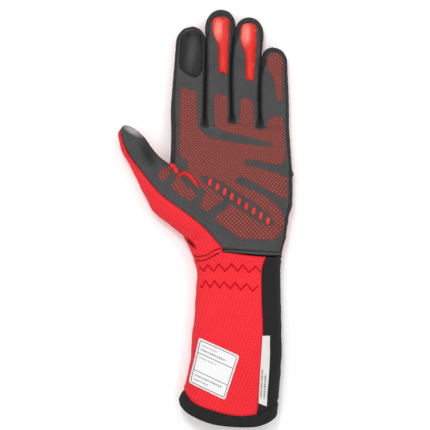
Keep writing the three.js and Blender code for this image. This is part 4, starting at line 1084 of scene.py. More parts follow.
for k, names in enumerate(("index_middle", "middle_ring", "ring_little")):
    down, up = finger_wall(k, "right", WALL_DOWNS), finger_wall(k + 1, "left", WALL_DOWNS[:-1][::-1])
    strip_piece("finger_strip_" + names, joined(down, up), "fourchette_" + names, extra=crowded)
strip_piece("index_strip", joined(hand_wall(index_side(np.linspace(0.985, 0.02, 44)), 1, INDEX_INSETS),
                                  finger_wall(0, "left", WALL_DOWNS[::-1])), "index_side_wall")
side_y = np.linspace(KNUCKLE_Y - 0.8, -29.6, 110)
strip_piece("little_strip", joined(finger_wall(3, "right", WALL_DOWNS),
                                   hand_wall(np.stack([little_x(side_y), side_y], -1), -1, LITTLE_INSETS)),
             "little_side_wall", extra=little_bulges)

# %% Back of the hand
def knit_dents(panel):
    """The holes of the knit as dents, none of them at a seam."""
    return -HOLE_DEPTH * knit_hole(panel.c[:, 0], panel.c[:, 1]) * ease((panel.seam - 1.5) / 2)


back = hand_panel(-1, finger_rows=90, palm_rows=100, thumb_rows=50, columns=22)
back_piece = wall_piece("back_knit", back, RED, depth=0.5, swell=0.0, uneven=0.0, extra=knit_dents)
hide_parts("back_panel")

# %% Thumb side
border_shares = np.concatenate([thumb_share(even(70)), heel_share(np.linspace(CROTCH_SHARE, 1, 131)[1:])])
thumb_edge = thumb_side(border_shares)
thumb_rows = over_edge(thumb_edge, inset_from(palm_seam(border_shares), thumb_edge, SEAM_GAP),
                       thumb_back_seam(border_shares, SEAM_GAP), 64, 8)
thumb_seams = np.concatenate([thumb_rows[0][:, 0], thumb_rows[0][:, -1]])
thumb_panel = Panel().strip(thumb_rows, cloth_of(thumb_rows[0]), True).welded(thumb_seams)


def thumb_height(panel):
    """The holes of the knit, and a lower end at the thumb's tip."""
    return knit_dents(panel) - 0.55 * (1 - ease(panel.c[:, 1] / 5))


thumb_piece = wall_piece("thumb_knit", thumb_panel, RED, depth=0.6, swell=0.4, uneven=0.3, extra=thumb_height)
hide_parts("thumb_side_panel")

# %% [markdown]
# ## The cuff
# The cuff is a flattened tube of three panels: a red front that wraps round the thumb side, a black panel
# along the other side and a red back. Two rows of zigzag stitching hold elastic at the wrist, so the knit is
# gathered there.

# %% Places on the cuff
def by_across(rows):
    """The y of a table of places as a function of the share across it."""
    xs = [row[0] for row in rows]
    return lambda share: through(rows, mix(min(xs), max(xs), share))


cuff_top, hem_top, hem_edge = by_across(CUFF_TOP), by_across(HEM_TOP), by_across(HEM_EDGE)


def cuff_top_behind(share):
    """The y of the wrist seam on the back, which meets the front at both sides."""
    return mix(cuff_top(share), WRIST_SEAM_Y, ease(np.minimum(share, 1 - share) * 10))


def on_cuff(down, share, side, top, bottom):
    """The cuff's surface at shares down and across."""
    y = mix(top(share), bottom(share), down)
    zero, one = np.zeros(1), np.ones(1)
    left = through(flip(CUFF_SIDE), mix(top(zero), bottom(zero), down))
    right = little_x(mix(top(one), bottom(one), down))
    place = np.stack(np.broadcast_arrays(mix(left, right, share), y), -1)
    inset = np.minimum(share, 1 - share) * (right - left)
    inward = np.stack(np.broadcast_arrays(np.where(share < 0.5, 1.0, -1.0), 0.0 * y), -1)
    near = (np.broadcast_to(inset, place.shape[:2]), np.broadcast_to(inward, place.shape))
    return on_form(place, side, near)


def cuff_rows(down, start, stop, side, shares):
    """Rows round part of the cuff, from one share across to another."""
    top = cuff_top if side > 0 else cuff_top_behind
    share = mix(start, stop, np.asarray(shares)[None])
    share = np.broadcast_to(share, (len(down), share.shape[1]))
    return on_cuff(down[:, None], share, side, lambda s: top(s) - SEAM_GAP, lambda s: hem_top(s) + SEAM_GAP)


def beside(*parts):
    """Rows that lie side by side, as one strip."""
    return tuple(np.concatenate([part[k] if n == 0 else part[k][:, 1:] for n, part in enumerate(parts)], 1)
                 for k in range(2))


def from_outline(count):
    """Shares that lie closer together at the first one."""
    return 1 - np.cos(np.pi * even(count) / 2)


def towards_outline(count):
    """Shares that lie closer together at the last one."""
    return np.sin(np.pi * even(count) / 2)


CUFF_WIDTH = 70.0
BACK_SEAM = 7 / CUFF_WIDTH  # share across from the outline to a seam on the back
GAP_SHARE = SEAM_GAP / 2 / CUFF_WIDTH
ROLL_START = 0.22  # share across where the front begins to roll over
CUFF_ROWS = 230
cuff_down = even(CUFF_ROWS)
seam_share = (1 - through(CUFF_SEAM, cuff_down) / CUFF_WIDTH)[:, None]

# %% Cuff front with its gathers
ZIGZAGS = [  # corners of the stitching over each elastic
    [(-5.0, -38.1), (-1.1, -42.4), (1.8, -37.0), (6.8, -42.4), (10.7, -36.3), (16.1, -42.4), (21.0, -36.1),
     (25.8, -42.4), (30.1, -37.0), (34.8, -43.4), (40.1, -38.1), (44.1, -43.0)],
    [(-3.8, -53.4), (-2.6, -55.6), (0, -49.8), (4.2, -55.2), (7.4, -49.5), (11.4, -55.6), (15.0, -50.6),
     (20.0, -56.3), (23.9, -51.0), (28.3, -57.4), (32.8, -52.0), (37.6, -58.1), (42.6, -53.4)]]
GATHER, GATHER_PITCH, GATHER_SINK = 0.3, 4.4, 0.28  # height, pitch and how far the elastic draws them in
GATHERS = [(-40.2, 4.0), (-53.0, 4.5)]  # y of the elastic and how far its gathers reach


def gather_height(x, y):
    """Soft upright folds that the elastic draws up."""
    total = np.zeros(x.shape)
    for row, (middle, reach) in enumerate(GATHERS):
        near = np.exp(-((y - middle) / (reach * 1.9)) ** 2)
        fold = np.sin(x * 2 * np.pi / GATHER_PITCH + row * 1.3 + 0.12 * (y - middle))
        total += near * (GATHER * fold - GATHER_SINK)
    return total


def cuff_height(panel):
    """The gathers, a crease below them and the holes of the knit."""
    x, y = panel.p[:, 0], panel.p[:, 1]
    crease = 0.5 * np.exp(-((x - 3.2 + (y + 58) * 0.35) / 1.5) ** 2)
    crease = crease * ease((-50 - y) / 8) * ease((y + 82) / 18)
    return (gather_height(x, y) - crease) * ease((np.abs(panel.p[:, 2] - 12) - 1.5) / 6) + knit_dents(panel)


front = beside(cuff_rows(cuff_down, seam_share - GAP_SHARE, ROLL_START, 1, even(96)),
               cuff_rows(cuff_down, ROLL_START, 0, 1, towards_outline(44)),
               cuff_rows(cuff_down, 0, BACK_SEAM - GAP_SHARE, -1, from_outline(10)))
cuff_front = Panel().strip(front, cloth_of(front[0]), True).welded()
cuff_piece = wall_piece("cuff_knit", cuff_front, RED, depth=0.5, swell=0.3, uneven=0.3, extra=cuff_height)
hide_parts("cuff_panel")

# %% Cuff side, back and binding
down_black = even(130)
share_black = (1 - through(CUFF_SEAM, down_black) / CUFF_WIDTH)[:, None]
black = beside(cuff_rows(down_black, share_black + GAP_SHARE, 1, 1, towards_outline(26)),
               cuff_rows(down_black, 1, 1 - BACK_SEAM + GAP_SHARE, -1, from_outline(10)))
cuff_black = wall_piece("cuff_side_cloth", Panel().strip(black, cloth_of(black[0])).welded(), CUFF_BLACK,
                        depth=0.45, swell=0.25, uneven=0.25)
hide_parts("cuff_side_panel")

under = cuff_rows(even(110), BACK_SEAM + GAP_SHARE, 1 - BACK_SEAM - GAP_SHARE, -1, to_both_ends(60))
cuff_under = wall_piece("cuff_back_knit", Panel().strip(under, cloth_of(under[0]), True).welded(), RED,
                        depth=0.4, swell=0, uneven=0, extra=knit_dents)
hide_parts("cuff_back_panel")

hem_down = even(22)[:, None]
half_round = np.broadcast_to((1 - np.cos(np.pi * even(70))) / 2, (len(hem_down), 71))
hem_front = on_cuff(hem_down, half_round, 1, hem_top, hem_edge)
hem_back = on_cuff(hem_down, 1 - half_round, -1, hem_top, hem_edge)
hem_rows = tuple(np.concatenate([a, b[:, 1:]], 1) for a, b in zip(hem_front, hem_back))
hem_panel = Panel().strip(hem_rows, cloth_of(hem_rows[0])).welded()


def hem_bulge(panel):
    """The binding is thick on the palm side, where it is folded over."""
    return 0.35 * ease((panel.p[:, 2] - 3) / 6) * ease(panel.seam / 2.2)


hem_piece = wall_piece("hem_binding_cloth", hem_panel, HEM_BLACK, depth=0.35, swell=0.1, uneven=0.12,
                       extra=hem_bulge)
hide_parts("hem_binding")


# %% [markdown]
# ## Pads, prints and labels
# Each lies flat on a panel, so its outline is drawn in the plan, filled with triangles, and every corner is
# lifted onto the panel below it. Its height falls to nothing at the outline, so its edge is soft.

# %% Skins on a panel
def rounded(corners, steps=7):
    """An outline with rounded corners, from rows (x, y, radius)."""
    found = []
    corners = np.array(corners, float)
    for k in range(len(corners)):
        here, before, after = corners[k, :2], corners[k - 1, :2], corners[(k + 1) % len(corners), :2]
        ends = []
        for other in (before, after):
            length = np.linalg.norm(other - here)
            ends.append(here + (other - here) / length * min(corners[k, 2], length / 2.2))
        t = np.linspace(0, 1, steps)[:, None]
        found.append((1 - t) ** 2 * ends[0] + 2 * t * (1 - t) * here + t**2 * ends[1])
    return np.concatenate(found)


def resampled(loop, spacing):
    """A closed line with even steps."""
    loop = np.concatenate([loop, loop[:1]])
    whole = lengths(loop)[-1]
    return along_line(loop, np.linspace(0, whole, max(8, round(whole / spacing)), endpoint=False))


def within(points, loop):
    """Which points of the plan lie inside a closed line."""
    x, y = points[:, :1], points[:, 1:]
    a, b = loop, np.roll(loop, -1, 0)
    crosses = (a[None, :, 1] > y) != (b[None, :, 1] > y)
    at = a[:, 0] + (y - a[:, 1]) * (b[:, 0] - a[:, 0]) / np.where(b[:, 1] == a[:, 1], 1e-9, b[:, 1] - a[:, 1])
    return (crosses & (x < at)).sum(1) % 2 == 1


def skin_piece(name, loop, surface, material, lift=0.12, thick=0.55, spacing=0.9, soft=0.9, without=None,
               cloth=None, crown=0.0):
    """A thin soft-edged piece that lies on a surface, inside a loop and outside another."""
    edge = resampled(loop, spacing)
    rings = [edge] if without is None else [edge, resampled(without, spacing)]
    low, high = edge.min(0), edge.max(0)
    grid = np.stack(np.meshgrid(np.arange(low[0], high[0], spacing), np.arange(low[1], high[1], spacing)), -1)
    grid[1::2, :, 0] += spacing / 2
    grid = grid.reshape(-1, 2)
    grid = grid[within(grid, edge)]
    for ring in rings:
        grid = grid[nearest(tree_of(ring), grid)[1] > spacing * 0.6]
    vertices = np.concatenate([*rings, grid])
    edges, start = [], 0
    for ring in rings:
        edges += [(start + k, start + (k + 1) % len(ring)) for k in range(len(ring))]
        start += len(ring)
    points, _, faces, *_ = delaunay_2d_cdt([tuple(v) for v in vertices], edges, [], 0, 1e-5)
    points = np.array([tuple(p) for p in points])
    faces = np.array(faces)
    middles = points[faces].mean(1)
    keep = within(middles, edge)
    if without is not None:
        keep &= ~within(middles, rings[1])
    faces = faces[keep]
    a, b, c = (points[faces[:, k]] for k in range(3))
    turn = (b - a)[:, 0] * (c - a)[:, 1] - (b - a)[:, 1] * (c - a)[:, 0]
    faces[turn < 0] = faces[turn < 0][:, ::-1]
    used, faces = np.unique(faces, return_inverse=True)
    faces, points = faces.reshape(-1, 3), points[used]
    sides = {(f[i], f[(i + 1) % 3]) for f in faces.tolist() for i in range(3)}
    border = [(p, q) for p, q in sides if (q, p) not in sides]
    distance = nearest(tree_of(points[[p for p, _ in border]]), points)[1]
    base, normals = surface(points)
    rise = np.sqrt(np.clip(1 - (1 - np.clip(distance / soft, 0, 1)) ** 2, 0, 1))
    domed = np.sin(np.pi / 2 * np.clip(distance / 6.5, 0, 1))
    top = base + normals * [0.3, 0.3, 1] * (lift + thick * rise)[:, None]
    top[:, 2] += crown * domed
    bottom = base - normals * 0.25
    count = len(points)
    all_faces = faces.tolist() + (faces[:, ::-1] + count).tolist()
    all_faces += [[q, p, p + count, q + count] for p, q in border]
    flat = points if cloth is None else cloth(points)
    keep = dict(cloth=np.concatenate([flat, flat]), seam=np.concatenate([distance, distance]))
    piece = mesh_piece(name, np.concatenate([top, bottom]), all_faces, material, keep, 60)
    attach(piece, "root")
    print(name, len(all_faces), "faces")
    return piece


# Outlines as rows (x, y, radius of the corner)
TOUCH_PAD = [(-20.2, 149.8, 8), (-2.6, 149.8, 7), (-2.2, 117.4, 4), (-6.6, 111.8, 3), (-13, 114, 4),
             (-21.2, 119.8, 4)]
MIDDLE_PATCH = [(5.8, 160.8, 3.2), (19.2, 160.6, 3), (18.4, 134, 4), (17.6, 115, 1), (10.9, 117.2, 1),
                (10.6, 138.6, 4), (5.6, 147.6, 5)]
RING_PATCH = [(28.4, 156, 3.2), (40.6, 155.8, 3.2), (40.9, 140, 4), (38.7, 109.2, 1), (32.4, 111.4, 1),
              (32.2, 131.8, 4), (28.2, 140, 5)]
pad = skin_piece("touch_pad_leather", rounded(TOUCH_PAD), on_palm, LEATHER, thick=0.5, crown=0.7)
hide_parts("touch_pad")
for name, node, corners in (("middle_patch_rubber", "middle_grip_patch", MIDDLE_PATCH),
                            ("ring_patch_rubber", "ring_grip_patch", RING_PATCH)):
    patch = skin_piece(name, rounded(corners), on_palm, RUBBER, thick=0.6, crown=1.3)
    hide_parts(node)

# %% [markdown]
# ## The printed grip
# The print is rubber ink: a thin dark red film with a staggered grid of small raised dots. The dots are a
# joined mesh of many low domes, all of one shape, because a bump alone would not catch the light from the
# side.

# %% Outlines of the print
GRIP_PALM = [
    (-20, 104.6, 2.6), (-7, 101.8, 2.4), (-6.2, 72.8, 4), (2.6, 64.6, 3), (14, 62, 2), (30, 59.4, 8),
    (53, 56.8, 2), (53.2, 60, 2), (43, 62.4, 4), (27, 66.2, 8), (14, 69.6, 4), (7.4, 73, 3), (7.2, 99.4, 2),
    (17.6, 98.6, 2), (18, 77.6, 2), (23.6, 75.4, 2), (27.8, 76.4, 1.6), (27.8, 95.4, 2), (34.4, 96.6, 4),
    (38.6, 91.6, 3), (38.6, 74, 3), (44.6, 69.4, 3), (49.8, 72, 2), (50.4, 79.4, 3), (56, 82.2, 3),
    (62.4, 80.4, 3), (63.4, 60, 6), (64.6, 47, 3), (59.8, 42.4, 3), (42.6, 45.4, 6), (31, 47, 2.6),
    (32, 42.4, 3), (53.8, 37.4, 6), (60.6, 33.8, 4), (65.4, 32.4, 1.6), (65.4, 15.2, 2), (60.4, 16.4, 4),
    (42.6, 26.6, 8), (30, 33.2, 4), (24, 31.6, 3), (25.4, 27.6, 3), (46, 19, 8), (58.4, 10, 6), (63.4, 0, 6),
    (61.2, -11, 6), (56, -17, 4), (28.4, -16.6, 5), (12, -5, 6), (7, 0, 2.4), (22.4, 13, 2), (17.6, 16.4, 2),
    (10.4, 11.6, 3), (1.2, 4.6, 2.6), (-4.4, 9, 2.6), (0.2, 20.6, 3), (-6.6, 29.4, 3), (-14.6, 38.4, 3),
    (-14, 46.4, 1.6), (-20.8, 48.6, 4)]
GRIP_LITTLE = [(56, 133, 4), (62, 130, 4), (61.6, 94, 3), (57.2, 93, 3), (55.4, 110, 5), (49.2, 120, 4),
               (49.4, 129, 4)]
GRIP_THUMB_TIP = [(-36.9, 38.4, 2), (-30, 41.8, 2.6), (-26.2, 39.4, 2.4), (-28.6, 34, 3), (-33.6, 28.8, 2.6),
                  (-38, 31, 3)]
GRIP_THUMB_BASE = [(-23, 32.8, 2), (-19, 34.4, 2), (-18.6, 30.2, 2), (-13, 24.6, 4), (-6.2, 19.6, 4),
                   (-8, 15.4, 3), (-12.4, 13.2, 3), (-28.6, 24.4, 5)]
RIB_BAND = [(-5.4, 34.6, 3), (8, 31.4, 6), (34, 15.6, 9), (54.4, 0.4, 5), (54.6, -6.4, 3), (47, -5.4, 6),
            (21, 11, 9), (0, 27, 6)]


# %% Film and dots
def dot_mesh(name, centres, surface, sizes, material, rise=0.36):
    """One joined mesh of low domes on a surface."""
    rings, sides = [(1.0, -0.1), (0.92, 0.45), (0.6, 0.88)], 8
    angle = np.arange(sides) * 2 * np.pi / sides
    unit = [np.stack([r * np.cos(angle), r * np.sin(angle)], -1) for r, _ in rings] + [np.zeros((1, 2))]
    flat = np.concatenate(unit)
    heights = np.concatenate([np.full(sides, h) for _, h in rings] + [[1.0]])
    place = centres[:, None] + flat[None] * sizes[:, None, None]
    base, normals = surface(place.reshape(-1, 2))
    top = base + normals * (0.3 + np.tile(heights, len(centres)) * rise)[:, None]
    faces, per = [], len(flat)
    for k in range(len(centres)):
        s = k * per
        faces += ring_quads(s, len(rings), sides)
        last = s + (len(rings) - 1) * sides
        faces += [[last + j, last + (j + 1) % sides, s + per - 1] for j in range(sides)]
        faces.append([s + sides - 1 - j for j in range(sides)])
    piece = mesh_piece(name, top, faces, material, None, 0)
    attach(piece, "root")
    print(name, len(centres), "dots")
    return piece


GRADE_MIDDLE = 20.0  # x from which the lattice spreads
GRADE_Y = np.linspace(-60, 160, 441)


def grade(y):
    """The grid is finer towards the fingers."""
    return mix(1.0, 0.78, ease((np.asarray(y) - 4) / 46))


GRADE_SUM = np.concatenate([[0], np.cumsum(np.diff(GRADE_Y) / grade((GRADE_Y[1:] + GRADE_Y[:-1]) / 2))])


def to_grid(place):
    """Place on the printing screen, where the grid is even."""
    return np.stack([(place[:, 0] - GRADE_MIDDLE) / grade(place[:, 1]),
                     np.interp(place[:, 1], GRADE_Y, GRADE_SUM)], -1)


def from_grid(screen):
    """Place on the glove of a place on the printing screen."""
    y = np.interp(screen[:, 1], GRADE_SUM, GRADE_Y)
    return np.stack([GRADE_MIDDLE + screen[:, 0] * grade(y), y], -1)


def lattice(loop, margin, without=None):
    """Dot centres of the staggered grid inside a loop."""
    screen = to_grid(resampled(loop, 1.0))
    low, high = screen.min(0), screen.max(0)
    i = np.arange(math.floor(low[0] / DOT_PITCH), math.ceil(high[0] / DOT_PITCH) + 1)
    j = np.arange(math.floor(low[1] / DOT_ROWS), math.ceil(high[1] / DOT_ROWS) + 1)
    whole = np.stack(np.meshgrid(i * DOT_PITCH, j * DOT_ROWS), -1).reshape(-1, 2)
    both = from_grid(np.concatenate([whole, whole + [DOT_PITCH / 2, DOT_ROWS / 2]]))
    both = both[within(both, loop)]
    both = both[nearest(tree_of(resampled(loop, 0.5)), both)[1] > margin]
    if without is not None:
        both = both[~within(both, without)]
        both = both[nearest(tree_of(resampled(without, 0.5)), both)[1] > margin]
    return both


for name, corners in (("palm", GRIP_PALM), ("little", GRIP_LITTLE), ("thumb_tip", GRIP_THUMB_TIP),
                      ("thumb_base", GRIP_THUMB_BASE)):
    loop = rounded(corners)
    band = rounded(RIB_BAND) if name == "palm" else None
    film = skin_piece("print_film_" + name, loop, on_palm, FILM, lift=0.05, thick=0.25, soft=0.5,
                      without=band, spacing=0.8, cloth=to_grid)
    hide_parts("grip_print_" + name)
    centres = lattice(loop, 0.7, band)
    size = (0.5 + 0.04 * np.sin(centres[:, 0] * 1.3 + centres[:, 1])) * grade(centres[:, 1])
    dot_mesh("print_dots_" + name, centres, on_palm, size, DOTS)

# %% Tuck beside the thumb
TUCK_LINE = [(-22.6, 31.6), (-21.2, 33.8), (-17.6, 35.6), (-13.2, 34.4), (-10.1, 31.2), (-7.2, 27.2),
             (-4.6, 23.4)]
TUCK_HALF = 2.1  # half its width
line = smooth_line(TUCK_LINE)
span = lengths(line) / lengths(line)[-1]
half = TUCK_HALF * np.sqrt(np.clip(np.sin(np.pi * span.clip(0.01, 0.99)), 0.02, 1))[:, None]
loop = np.concatenate([line + leftwards(line) * half, (line - leftwards(line) * half)[::-1]])
tuck = skin_piece("printed_tuck", loop, on_palm, TUCK, lift=0.25, thick=1.0, spacing=0.5, soft=1.9)

# %% [markdown]
# ## Ribs
# Nine plain slanted ribs of solid red rubber lie in the open band across the palm.

# %% Ribs in the band
RIB_FROM, RIB_TO = np.array([4, 28.8]), np.array([50, -2])
RIB_TURN = math.radians(78)
RIB_COUNT = 9
RIB_HALF, RIB_HALF_WIDTH, RIB_CORNER = 3, 1.5, 0.9
rib_way = np.array([math.cos(RIB_TURN), math.sin(RIB_TURN)])
rib_side = np.array([-rib_way[1], rib_way[0]])
for k in range(RIB_COUNT):
    middle = mix(RIB_FROM, RIB_TO, k / (RIB_COUNT - 1))
    corners = [(*(middle + rib_way * RIB_HALF * i + rib_side * RIB_HALF_WIDTH * j), RIB_CORNER)
               for i, j in ((-1, 1), (-1, -1), (1, -1), (1, 1))]
    rib = skin_piece(f"rubber_rib_{k + 1}", rounded(corners), on_palm, RUBBER, thick=0.55, spacing=0.45,
                     soft=0.6)
    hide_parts(f"grip_rib_{k + 1}")


# %% [markdown]
# ## Heel strip and labels
# The heel's edge is turned over and stitched, which leaves a folded strip. The label is woven tape, heat cut
# with round corners, with a thin border and two dividers; the narrow tag is caught in the seam beside the
# black panel.

# %% Heel strip
def band_piece(name, place, surface, node, material, profile, wall=1.0):
    """A narrow band over a grid of plan places, with a rounded section across it."""
    points, normals = surface(place)
    share = np.broadcast_to(np.linspace(0, 1, place.shape[0])[:, None], place.shape[:2])
    points = points + normals * profile(share)[..., None]
    panel = Panel().strip((points, normals), cloth_of(points)).welded()
    piece = wall_piece(name, panel, material, depth=0, swell=0, uneven=0, wall=wall)
    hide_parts(node)
    return piece


def cuff_front_surface(place):
    """The dressed front of the cuff over places of the plan, without its gathers."""
    x, y = place[..., 0], place[..., 1]
    left, right = through(flip(CUFF_SIDE), y), little_x(y)
    inset = np.minimum(x - left, right - x)
    inward = np.stack([np.where(x - left < right - x, 1.0, -1.0), 0 * x], -1)
    points, normals = on_form(place, 1, (inset, inward))
    return points + normals * (0.3 * drift(points))[..., None], normals


shares = np.linspace(0.005, 0.985, 120)
strip = mix(heel(shares)[None], heel_fold(shares)[None], np.linspace(0.02, 0.98, 12)[:, None, None])
band_piece("heel_fold_suede", strip, lambda place: on_form(place, 1), "heel_strip", SUEDE,
           lambda share: 0.45 * np.sin(np.pi * share.clip(0.02, 0.98)) ** 0.5 + 0.1, wall=0.8)

# %% Care label
CARE_LABEL = [(-4.9, -95, 2), (27.3, -109.4, 2), (15.6, -144.6, 2), (-13, -131, 2)]


def label_cloth_place(points):
    """Place on the flat label, which the hand's form pulls a little out of square."""
    a, b, c, d = (np.array(row[:2]) for row in CARE_LABEL)
    share = np.full((len(points), 2), 0.5)
    for _ in range(8):
        u, v = share[:, :1], share[:, 1:]
        at = a * (1 - u) * (1 - v) + b * u * (1 - v) + c * u * v + d * (1 - u) * v
        by_u = (b - a) * (1 - v) + (c - d) * v
        by_v = (d - a) * (1 - u) + (c - b) * u
        away = points - at
        whole = by_u[:, 0] * by_v[:, 1] - by_u[:, 1] * by_v[:, 0]
        share[:, 0] += (away[:, 0] * by_v[:, 1] - away[:, 1] * by_v[:, 0]) / whole
        share[:, 1] += (by_u[:, 0] * away[:, 1] - by_u[:, 1] * away[:, 0]) / whole
    return share * LABEL_SIZE


label = skin_piece("care_label_tape", rounded(CARE_LABEL), cuff_front_surface, RULED, lift=0.15, thick=0.45,
                         soft=0.4, cloth=label_cloth_place)
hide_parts("care_label")

# %% Side tag
tag_down = np.linspace(0, 1, 60)
tag_left, tag_right = through(SIDE_TAG, tag_down, 2), through(SIDE_TAG, tag_down, 3)
u = np.linspace(0, 1, 14)
tag_x = mix(tag_left[:, None], tag_right[:, None], u[None])
tag_y = through(SIDE_TAG, tag_down, 1)[:, None] + through(SIDE_TAG, tag_down, 4)[:, None] * u[None]
tag_points, tag_normals = cuff_front_surface(np.stack([tag_x, tag_y], -1))
tag_points = tag_points + tag_normals * (0.75 + 0.25 * np.sin(u * 3.0 + tag_y * 0.12))[..., None]
tag_panel = Panel().strip((tag_points, tag_normals), cloth_of(tag_points)).welded()
tag = wall_piece("side_tag_tape", tag_panel, PLAIN, depth=0.15, swell=0.0, uneven=0.0, wall=0.7)
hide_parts("side_tag")


# %% [markdown]
# ## Stitching
# A stitch is a short thread that sinks into the cloth at both ends. All stitches of a seam are one joined
# mesh of small bent rods, set along the seam at an even pitch. The zigzag over the elastic is longer stitches
# end to end.

# %% Tubes
def tube(name, line, normals, width, height, material, sides=10):
    """A tube along points on a surface, flattened against it, with half the width and the height given."""
    along = np.gradient(line, axis=0)
    along /= np.linalg.norm(along, axis=1, keepdims=True)
    across_tube = np.cross(normals, along)
    across_tube /= np.linalg.norm(across_tube, axis=1, keepdims=True)
    angle = np.arange(sides) * 2 * np.pi / sides
    distance = np.minimum(lengths(line), lengths(line)[-1] - lengths(line))
    width = np.broadcast_to(width, len(line))
    taper = np.sqrt(1 - (1 - np.clip(distance / (width * 1.5), 0.02, 1)) ** 2)
    height = height * taper * width / width.max()
    ring = (across_tube[:, None] * (np.cos(angle)[None] * (taper * width)[:, None])[..., None]
            + normals[:, None] * (np.sin(angle)[None] * height[:, None])[..., None])
    points = line[:, None] + ring
    count = len(line)
    faces = ring_quads(0, count, sides)
    faces += [list(range(sides))[::-1], list(range((count - 1) * sides, count * sides))]
    around = angle[None] * width[:, None]
    flat = np.stack([around, np.broadcast_to(lengths(line)[:, None], (count, sides))], -1).reshape(-1, 2)
    piece = mesh_piece(name, points.reshape(-1, 3), faces, material,
                       dict(cloth=flat, seam=np.full(count * sides, 3.0)), 0)
    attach(piece, "root")
    return piece


def resampled_open(line, spacing):
    """An open line with even steps."""
    whole = lengths(line)[-1]
    return along_line(line, np.linspace(0, whole, max(2, round(whole / spacing))))


# %% Stitches along a line
def rods(name, starts, ends, start_normals, end_normals, material, radius, sag=0.12, sides=6, steps=6):
    """Bent rods from starts to ends that rise between their ends, as one joined mesh."""
    count = len(starts)
    t = np.linspace(0, 1, steps + 1)
    arch = np.sin(np.pi * t)
    line = starts[:, None] + (ends - starts)[:, None] * t[None, :, None]
    normal = start_normals[:, None] + (end_normals - start_normals)[:, None] * t[None, :, None]
    normal /= np.linalg.norm(normal, axis=-1, keepdims=True)
    line = line + normal * (arch * (radius * 1.1) - sag * (1 - arch))[None, :, None]
    along = (ends - starts) / np.linalg.norm(ends - starts, axis=-1, keepdims=True)
    across_rod = np.cross(normal, along[:, None])
    angle = np.arange(sides) * 2 * np.pi / sides
    thick = radius * np.sqrt(np.clip(1 - (2 * t - 1) ** 6, 0.05, 1))
    ring = (across_rod[:, :, None] * np.cos(angle)[None, None, :, None]
            + normal[:, :, None] * np.sin(angle)[None, None, :, None])
    points = line[:, :, None] + ring * thick[None, :, None, None]
    per = (steps + 1) * sides
    faces = []
    for k in range(count):
        s = k * per
        faces += ring_quads(s, steps + 1, sides)
        faces.append([s + sides - 1 - j for j in range(sides)])
        faces.append([s + steps * sides + j for j in range(sides)])
    piece = mesh_piece(name, points.reshape(-1, 3), faces, material, None, 0)
    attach(piece, "root")
    print(name, count, "stitches")
    return piece


STITCH_PITCH, STITCH_LENGTH, STITCH_RADIUS = 2.4, 1.9, 0.16


def palm_stitches(name, line):
    """Stitches on the palm along a line of the plan."""
    starts_at = np.arange(0, lengths(line)[-1] - STITCH_LENGTH, STITCH_PITCH)
    starts, start_normals = on_palm(along_line(line, starts_at))
    ends, end_normals = on_palm(along_line(line, starts_at + STITCH_LENGTH))
    piece = rods(name, starts, ends, start_normals, end_normals, GREY_THREAD, STITCH_RADIUS)


def beside_line(line, inset):
    """A line a little to the left of another, seen along it."""
    return line + leftwards(line) * inset


downs = np.linspace(0.004, 0.995, 400)
for k in range(4):
    left, right = finger_side(k, "left", downs)[1], finger_side(k, "right", downs)[1]
    line = np.concatenate([beside_line(left[::-1], -1.5), beside_line(right, -1.5)])
    palm_stitches(f"finger_seam_stitches_{k + 1}", line)
palm_stitches("palm_seam_stitches", beside_line(palm_seam(np.linspace(0.03, 0.985, 400)), 1.6))
palm_stitches("heel_stitches", beside_line(heel(np.linspace(0.02, 0.98, 200)), 1.7))

# %% Zigzag over the elastic
def cuff_with_gathers(place):
    """The dressed front of the cuff with its gathers."""
    points, normals = cuff_front_surface(place)
    return points + normals * gather_height(points[..., 0], points[..., 1])[..., None], normals


for row, corners in enumerate(ZIGZAGS):
    line = resampled_open(np.array(corners), 0.5)
    points, normals = cuff_with_gathers(line)
    zigzag = tube(f"elastic_zigzag_{row + 1}", points + normals * 0.14, normals, width=0.6, height=0.3,
                  material=RED_THREAD)

# %% Gusset
GUSSET = [(-29.4, 43.0), (-27.6, 42.4), (-25.0, 40.8), (-23.2, 38.2), (-22.8, 35.4)]
points, normals = on_palm(resampled_open(smooth_line(GUSSET), 0.4))
gusset = tube("gusset_knit", points, normals, width=2.1, height=1.5, material=RED, sides=16)
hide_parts("thumb_gusset")

# %% [markdown]
# ## Welt at the wrist and cords at the heel
# Where the cuff is joined on, the seam allowances make a raised welt that runs right round the wrist. Along
# the heel it is hidden, and there two dark cords in the creases on both sides of the folded suede are painted
# shade.


# %% Welt and cords
def round_wrist(front_from, behind_from, behind_to, front_to):
    """Points and normals round the wrist seam: front, behind and front, as shares from the thumb side."""
    paths = []
    if front_from is not None:
        paths.append((mix(front_from, 0, towards_outline(60)), 1, cuff_top))
    behind = mix(behind_from, behind_to, even(160))
    behind = mix(behind, ease(behind), 0.9)
    paths.append((behind, -1, cuff_top_behind))
    if front_to is not None:
        paths.append((mix(1, front_to, from_outline(16)), 1, cuff_top))
    found = []
    for share, side, top in paths:
        points, normals = on_cuff(np.zeros((1, 1)), share[None], side, top, hem_top)
        found.append((points[0], normals[0]))
    points, normals = (np.concatenate([f[k] for f in found]) for k in range(2))
    step = np.linalg.norm(np.diff(points, axis=0), axis=1)
    keep = np.concatenate([[True], step > 0.05])
    return points[keep], normals[keep]


WELT, WELT_SUNK = 1.55, 0.25  # half its width, and how deep it lies in the cloth
points, normals = round_wrist(0.33, 0, 1 - BACK_SEAM, None)
points[:, 1] += 0.4
red_welt = tube("wrist_welt_red", points - normals * WELT_SUNK, normals, WELT, height=1.0, material=RED,
                sides=14)
points, normals = round_wrist(None, 1 - BACK_SEAM, 1, 0.975)
points[:, 1] += 0.3
black_welt = tube("wrist_welt_black", points - normals * WELT_SUNK, normals, WELT, height=0.9,
                  material=CUFF_BLACK, sides=14)
shares = np.linspace(0.0, 0.99, 160)
